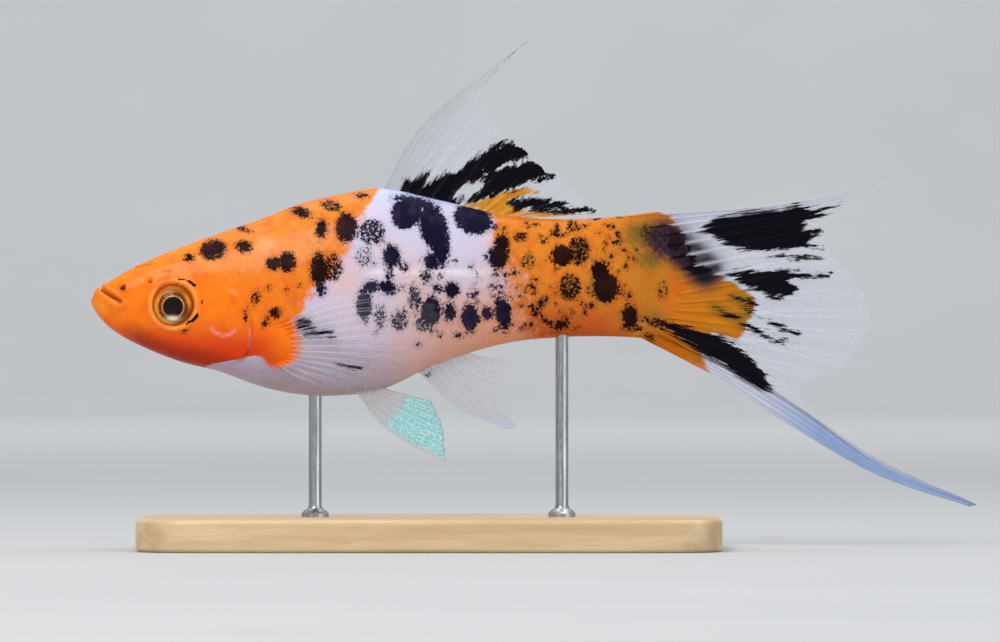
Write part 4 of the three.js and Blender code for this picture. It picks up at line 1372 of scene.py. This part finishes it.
def make_dorsal(sizes):
    def offset(t, height, along, place):
        return 0.5 * np.sin(along * 2.2 + place * 3.0) * along

    fin, t, height, along, u = fin_sheet(
        "dorsal_fin_rayed", DORSAL_KEYS, 13, 84, offset, sizes, fray=0.05, seed=5,
    )
    dark = deepest(t, height, DORSAL_BLACK) + 0.1
    warm_depth = outline_depth(t, height, from_photo(DORSAL_WARM))
    cover = 0.17 - 0.07 * along + 0.12 * smooth_step(u, 2.2, 0.2)
    tint = mix(CLEAR_LILAC, EDGE_GREY, smooth_step(u, 6, 2))
    fin_colours(fin, tint, cover, 0.3, dark, FIN_YELLOW, warm_depth)
    close_fin(fin, fin_material("dorsal_membrane"), ("dorsal_fin",))


def make_tail(sizes):
    def offset(t, height, along, place):
        return 0.35 * np.sin(place * 9.0) * along

    fin, t, height, along, u = fin_sheet(
        "tail_fin_rayed", TAIL_KEYS, 23, 116, offset, sizes,
        sink=2.6, columns_per_ray=11, fray=0.012, seed=9,
    )
    dark = np.maximum(deepest(t, height, TAIL_BLACK), mark_depth(t, height, BODY_MARKS) * 1.5)
    warm_depth = outline_depth(t, height, from_photo(TAIL_WARM)) * 1.3
    sword = smooth_step(u, 16.5, 18.5)
    top = smooth_step(u, 3.0, 0.5)
    tint = mix(CLEAR_LILAC, SWORD_BLUE, sword * smooth_step(t, 80, 92))
    warm = mix(FAN_ORANGE, FAN_AMBER, smooth_step(height, -9, -2))
    warm = mix(warm, OLIVE, 0.6 * smooth_step(dark, -1.3, -0.1))
    warm = mix(warm, warm_tint(t, height), smooth_step(t, 78, 73))
    smoke = smooth_step(smoke_share(t, height), 0.02, 0.8)
    warm = mix(warm, SMOKE, smoke)
    tint = mix(tint, SMOKE, smoke)
    cover = 0.34 + 0.46 * sword + 0.14 * top + 0.4 * smooth_step(along, 0.3, 0.0)
    cover -= 0.2 * (1 - sword) * smooth_step(along, 0.45, 1.0)
    cover = np.maximum(cover, smoke)
    fin_colours(fin, tint, cover, 0.34, dark, warm, warm_depth)
    nodes = ("tail_fin_upper", "tail_fin_middle", "tail_fin_sword")
    close_fin(fin, fin_material("tail_membrane"), nodes)


def make_anal(sizes):
    def offset(t, height, along, place):
        return 0.3 * np.sin(along * 2.5 + 1.0) * along

    fin, t, height, along, u = fin_sheet(
        "anal_fin_rayed", ANAL_KEYS, 9, 60, offset, sizes, seed=13,
    )
    dark = deepest(t, height, ANAL_BLACK) - 0.1
    tip = smooth_step(u, 3.2, 0.6) * smooth_step(along, 0.55, 0.95)
    tint = mix(ANAL_GREY, TIP_BLUE, tip)
    cover = 0.24 + 0.46 * tip + 0.16 * smooth_step(along, 0.3, 0.0)
    fin_colours(fin, tint, cover, 0.34, dark)
    close_fin(fin, fin_material("anal_membrane"), ("anal_fin",))


def make_pelvic(name, side_sign, node, sizes):
    def offset(t, height, along, place):
        return side_sign * (PELVIC_ROOT_OFFSET + PELVIC_SPLAY * along)

    fin, _, _, along, u = fin_sheet(
        name, PELVIC_KEYS, 7, 60, offset, sizes, columns_per_ray=14, seed=17,
    )
    store(fin, "shine", smooth_step(along, 0.3, 0.62) * smooth_step(u, -0.2, 0.8))
    cover = 0.24 + 0.1 * smooth_step(along, 0.3, 0.0)
    fin_colours(fin, CLEAR_GREY, cover, 0.34)
    close_fin(fin, shared("pelvic_membrane", fin_material, True), (node,))


def make_pectoral(name, side_sign, node, sizes):
    roots = np.array([key[0] for key in PECTORAL_KEYS], float)

    def offset(t, height, along, place):
        root = smooth_run(np.broadcast_to(roots, (len(place), *roots.shape)), place)
        root_out = surface_offset(root[:, 0], root[:, 1]) - PECTORAL_ROOT_DEPTH + 0.45
        ripple = 0.12 * np.sin(place * 24.0) * along
        return side_sign * (root_out + PECTORAL_SPLAY * (1 - (1 - along) ** 2) + ripple)

    fin, t, height, along, _ = fin_sheet(
        name, PECTORAL_KEYS, 13, 76, offset, sizes, sink=0.6, fray=0.03, seed=23,
    )
    dark = deepest(t, height, PECTORAL_BLACK) + 0.03
    warm_depth = (0.17 - along) * 14.0
    ray_cover = 0.22 - 0.1 * smooth_step(along, 0.4, 0.9)
    cover = 0.02 + 0.2 * smooth_step(along, 0.3, 0.05) - 0.05 * smooth_step(along, 0.5, 1.0)
    fin_colours(fin, CLEAR_WHITE, cover, ray_cover, dark, CHEEK_ORANGE, warm_depth)
    close_fin(fin, shared("pectoral_membrane", fin_material), (node,))


# Stand and studio

def make_base(stand):
    low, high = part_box("stand_base")
    size = [high[i] - low[i] for i in range(3)]
    middle = [(high[i] + low[i]) / 2 for i in range(3)]
    deselect()
    bpy.ops.mesh.primitive_cube_add(size=1, location=middle, scale=size)
    base = made("stand_base_maple")
    bpy.ops.object.transform_apply(location=True, rotation=True, scale=True)
    bpy.ops.object.mode_set(mode="EDIT")
    bpy.ops.mesh.select_all(action="DESELECT")
    bpy.ops.object.mode_set(mode="OBJECT")
    for edge in base.data.edges:
        a, b = (base.data.vertices[i].co for i in edge.vertices)
        edge.select = abs(a.z - b.z) > size[2] / 2
    bpy.ops.object.mode_set(mode="EDIT")
    bpy.ops.mesh.select_mode(type="EDGE")
    bpy.ops.mesh.bevel(offset=stand.corner, segments=14, affect="EDGES")
    bpy.ops.object.mode_set(mode="OBJECT")
    soften = base.modifiers.new("soft_edge", "BEVEL")
    soften.width = stand.edge
    soften.segments = 4
    soften.limit_method = "ANGLE"
    soften.angle_limit = math.radians(60)
    apply_modifiers(base)
    finish_piece(base, wood_material("maple_oiled"), ("stand_base",), sharp_from=40)


def make_rod(name, node, stand):
    low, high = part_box(node)
    middle_x = (low[0] + high[0]) / 2
    middle_y = (low[1] + high[1]) / 2
    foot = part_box("stand_base")[1][2]
    top = high[2] + stand.rod_sink
    collar = stand.collar
    profile = (
        (0.0, foot), (collar, foot), (collar, foot + 0.45 * MM), (collar * 0.82, foot + 0.8 * MM),
        (stand.rod * 1.15, foot + 1.1 * MM), (stand.rod, foot + 1.5 * MM), (stand.rod, top), (0.0, top),
    )
    deselect()
    mesh = bpy.data.meshes.new(name)
    points = [(middle_x + radius, middle_y, height) for radius, height in profile]
    mesh.from_pydata(points, [(i, i + 1) for i in range(len(points) - 1)], [])
    rod = bpy.data.objects.new(name, mesh)
    bpy.context.scene.collection.objects.link(rod)
    bpy.context.view_layer.objects.active = rod
    rod.select_set(True)
    bpy.ops.object.mode_set(mode="EDIT")
    bpy.ops.mesh.select_all(action="SELECT")
    bpy.ops.mesh.spin(steps=48, angle=2 * math.pi, center=(middle_x, middle_y, 0), axis=(0, 0, 1))
    bpy.ops.mesh.select_all(action="SELECT")
    bpy.ops.mesh.remove_doubles(threshold=0.000002)
    bpy.ops.mesh.normals_make_consistent(inside=False)
    bpy.ops.object.mode_set(mode="OBJECT")
    finish_piece(rod, shared("rod_steel", steel_material), (node,), sharp_from=35)


def make_floor(studio):
    deselect()
    bpy.ops.mesh.primitive_plane_add(size=1, location=(0, 0, 0))
    floor = made("studio_floor")
    bpy.ops.object.mode_set(mode="EDIT")
    bpy.ops.mesh.select_all(action="SELECT")
    bpy.ops.transform.resize(value=(*FLOOR_SIZE, 1), center_override=(0, 0, 0))
    bpy.ops.transform.translate(value=(0, FLOOR_BACK, 0))
    bpy.ops.mesh.select_all(action="DESELECT")
    bpy.ops.object.mode_set(mode="OBJECT")
    for edge in floor.data.edges:
        edge.select = all(floor.data.vertices[i].co.y > 1 for i in edge.vertices)
    bpy.ops.object.mode_set(mode="EDIT")
    bpy.ops.mesh.select_mode(type="EDGE")
    bpy.ops.mesh.extrude_region_move(TRANSFORM_OT_translate={"value": (0, 0, WALL_HEIGHT)})
    bpy.ops.object.mode_set(mode="OBJECT")
    curve = floor.modifiers.new("sweep", "BEVEL")
    curve.width = SWEEP
    curve.segments = 24
    curve.limit_method = "ANGLE"
    apply_modifiers(floor)
    shader = Shader("studio_paper")
    shade = shader.noise(shader.place(), 14, 3)
    clouds = shader.step(shade, 0.3, 0.7, 0.0, 0.04)
    colour = shader.blend(clouds, tuple(studio.paper), (0.9, 0.9, 0.9))
    floor.select_set(True)
    bpy.ops.object.shade_smooth()
    floor.data.materials.append(shader.surface(colour, Roughness=0.85))
    deselect()


def add_light(name, place, target, size, power, colour):
    """A soft rectangular light that faces its target."""
    light = bpy.data.lights.new(name, "AREA")
    light.shape = "RECTANGLE"
    light.size = size[0]
    light.size_y = size[1]
    light.energy = power
    light.color = colour
    holder = bpy.data.objects.new(name, light)
    bpy.context.scene.collection.objects.link(holder)
    holder.location = place
    direction = [target[i] - place[i] for i in range(3)]
    flat = math.hypot(direction[0], direction[1])
    holder.rotation_euler = (math.atan2(flat, -direction[2]), 0, math.atan2(-direction[0], direction[1]))


def add_camera():
    """A long lens level with the fish, from which it fills the picture as in the photograph."""
    lens = bpy.data.cameras.new("studio_camera")
    lens.lens = LENS
    lens.sensor_width = SENSOR
    lens.clip_start = 0.01
    camera = bpy.data.objects.new("studio_camera", lens)
    bpy.context.scene.collection.objects.link(camera)
    aim_t, aim_h = from_photo(PHOTO_CENTRE)
    aim = to_world(np.array(aim_t), np.array(0.0), np.array(aim_h))
    distance = PHOTO_WIDTH * PIXEL * MM * LENS / SENSOR
    camera.location = (aim[0], -distance, aim[2])
    camera.rotation_euler = (math.pi / 2, 0, 0)
    bpy.context.scene.camera = camera


def make_studio(studio):
    make_floor(studio)
    for name, place, target, size, strength, colour in LIGHTS:
        add_light(name, place, target, size, studio.power * strength, colour)
    world = bpy.data.worlds.new("studio_air")
    bpy.context.scene.world = world
    world.use_nodes = True
    background = world.node_tree.nodes["Background"]
    background.inputs["Color"].default_value = (0.92, 0.95, 1.0, 1)
    background.inputs["Strength"].default_value = studio.air
    bpy.context.scene.view_settings.view_transform = "Standard"
    add_camera()


# Settings, operators and panel

class FishSizes(PropertyGroup):
    membrane: FloatProperty(
        name="Membrane", description="Thickness of a fin between its rays, in mm", default=0.11,
    )
    ray_height: FloatProperty(
        name="Ray height", description="How much thicker a fin is at a ray, in mm", default=0.34,
    )
    scale_lift: FloatProperty(
        name="Scale lift", description="How far a scale's rear edge stands up, in mm", default=0.014,
    )
    scale_thickness: FloatProperty(
        name="Scale thickness", description="Thickness of a scale, in mm", default=0.018,
    )
    scale_length: FloatProperty(
        name="Scale length", description="Length of a scale on the flank, in mm", default=1.5,
    )
    scale_rows: IntProperty(name="Scale rows", description="Rows of scales round the body", default=34)


class StandSizes(PropertyGroup):
    corner: FloatProperty(
        name="Corner", description="Corner radius of the base", default=0.007, unit="LENGTH",
    )
    edge: FloatProperty(name="Edge", description="Rounding of the edges", default=0.0006, unit="LENGTH")
    rod: FloatProperty(name="Rod", description="Radius of a rod", default=0.0008, unit="LENGTH")
    collar: FloatProperty(name="Collar", description="Radius of a collar", default=0.0017, unit="LENGTH")
    rod_sink: FloatProperty(
        name="Rod sink", description="How far a rod's tip enters the belly", default=0.0004, unit="LENGTH",
    )


class StudioSettings(PropertyGroup):
    paper: FloatVectorProperty(
        name="Paper", description="Colour of the floor", default=(0.5, 0.51, 0.52), subtype="COLOR",
    )
    power: FloatProperty(name="Power", description="Strength of the lights", default=1.0, unit="POWER")
    air: FloatProperty(name="Air", description="Strength of the light from all round", default=0.45)


class FISH_OT_skin(Operator):
    """Make the skin over the head and body"""
    bl_idname = "fish.skin"
    bl_label = "Skin"

    def execute(self, context):
        make_skin()
        return {"FINISHED"}


class FISH_OT_scales(Operator):
    """Lay the scales on the skin"""
    bl_idname = "fish.scales"
    bl_label = "Scales"

    def execute(self, context):
        for side_name, side_sign in (("left", -1), ("right", 1)):
            make_scales(f"fish_scales_{side_name}", side_sign, context.scene.fish_sizes)
        return {"FINISHED"}


class FISH_OT_eyes(Operator):
    """Make both eyes"""
    bl_idname = "fish.eyes"
    bl_label = "Eyes"

    def execute(self, context):
        for side_name, side_sign in (("left", -1), ("right", 1)):
            make_eye(f"eyeball_{side_name}", side_sign, f"eye_{side_name}")
            make_cornea(f"cornea_{side_name}", side_sign)
        return {"FINISHED"}


class FISH_OT_middle_fins(Operator):
    """Make the fins on the middle line: dorsal, tail and anal"""
    bl_idname = "fish.middle_fins"
    bl_label = "Middle fins"

    def execute(self, context):
        sizes = context.scene.fish_sizes
        make_dorsal(sizes)
        make_tail(sizes)
        make_anal(sizes)
        return {"FINISHED"}


class FISH_OT_paired_fins(Operator):
    """Make the pelvic and pectoral fins of both sides"""
    bl_idname = "fish.paired_fins"
    bl_label = "Paired fins"

    def execute(self, context):
        sizes = context.scene.fish_sizes
        for side_name, side_sign in (("left", -1), ("right", 1)):
            make_pelvic(f"pelvic_fin_rayed_{side_name}", side_sign, f"pelvic_fin_{side_name}", sizes)
            make_pectoral(f"pectoral_fin_rayed_{side_name}", side_sign, f"pectoral_fin_{side_name}", sizes)
        return {"FINISHED"}


class FISH_OT_stand(Operator):
    """Make the base and the rods"""
    bl_idname = "fish.stand"
    bl_label = "Stand"

    def execute(self, context):
        stand = context.scene.stand_sizes
        make_base(stand)
        make_rod("rod_front_steel", "stand_rod_front", stand)
        make_rod("rod_rear_steel", "stand_rod_rear", stand)
        return {"FINISHED"}


class FISH_OT_studio(Operator):
    """Set up the floor, the lights and the camera"""
    bl_idname = "fish.studio"
    bl_label = "Studio"

    def execute(self, context):
        make_studio(context.scene.studio_settings)
        return {"FINISHED"}


STEPS = (
    FISH_OT_studio, FISH_OT_skin, FISH_OT_scales, FISH_OT_eyes, FISH_OT_middle_fins, FISH_OT_paired_fins,
    FISH_OT_stand,
)


class FISH_PT_panel(Panel):
    """Lists the settings and the steps"""
    bl_label = "Swordtail"
    bl_idname = "FISH_PT_panel"
    bl_space_type = "VIEW_3D"
    bl_region_type = "UI"
    bl_category = "Swordtail"

    def draw(self, context):
        scene = context.scene
        for settings in (scene.fish_sizes, scene.stand_sizes, scene.studio_settings):
            for name in settings.__annotations__:
                self.layout.prop(settings, name)
        for step in STEPS:
            self.layout.operator(step.bl_idname)


CLASSES = (FishSizes, StandSizes, StudioSettings, *STEPS, FISH_PT_panel)


def register():
    for piece in CLASSES:
        bpy.utils.register_class(piece)
    bpy.types.Scene.fish_sizes = PointerProperty(type=FishSizes)
    bpy.types.Scene.stand_sizes = PointerProperty(type=StandSizes)
    bpy.types.Scene.studio_settings = PointerProperty(type=StudioSettings)


def unregister():
    del bpy.types.Scene.studio_settings
    del bpy.types.Scene.stand_sizes
    del bpy.types.Scene.fish_sizes
    for piece in reversed(CLASSES):
        bpy.utils.unregister_class(piece)


def main():
    register()
    bpy.ops.fish.studio()
    bpy.ops.fish.skin()
    bpy.ops.fish.scales()
    bpy.ops.fish.eyes()
    bpy.ops.fish.middle_fins()
    bpy.ops.fish.paired_fins()
    bpy.ops.fish.stand()


if __name__ == "__main__":
    main()
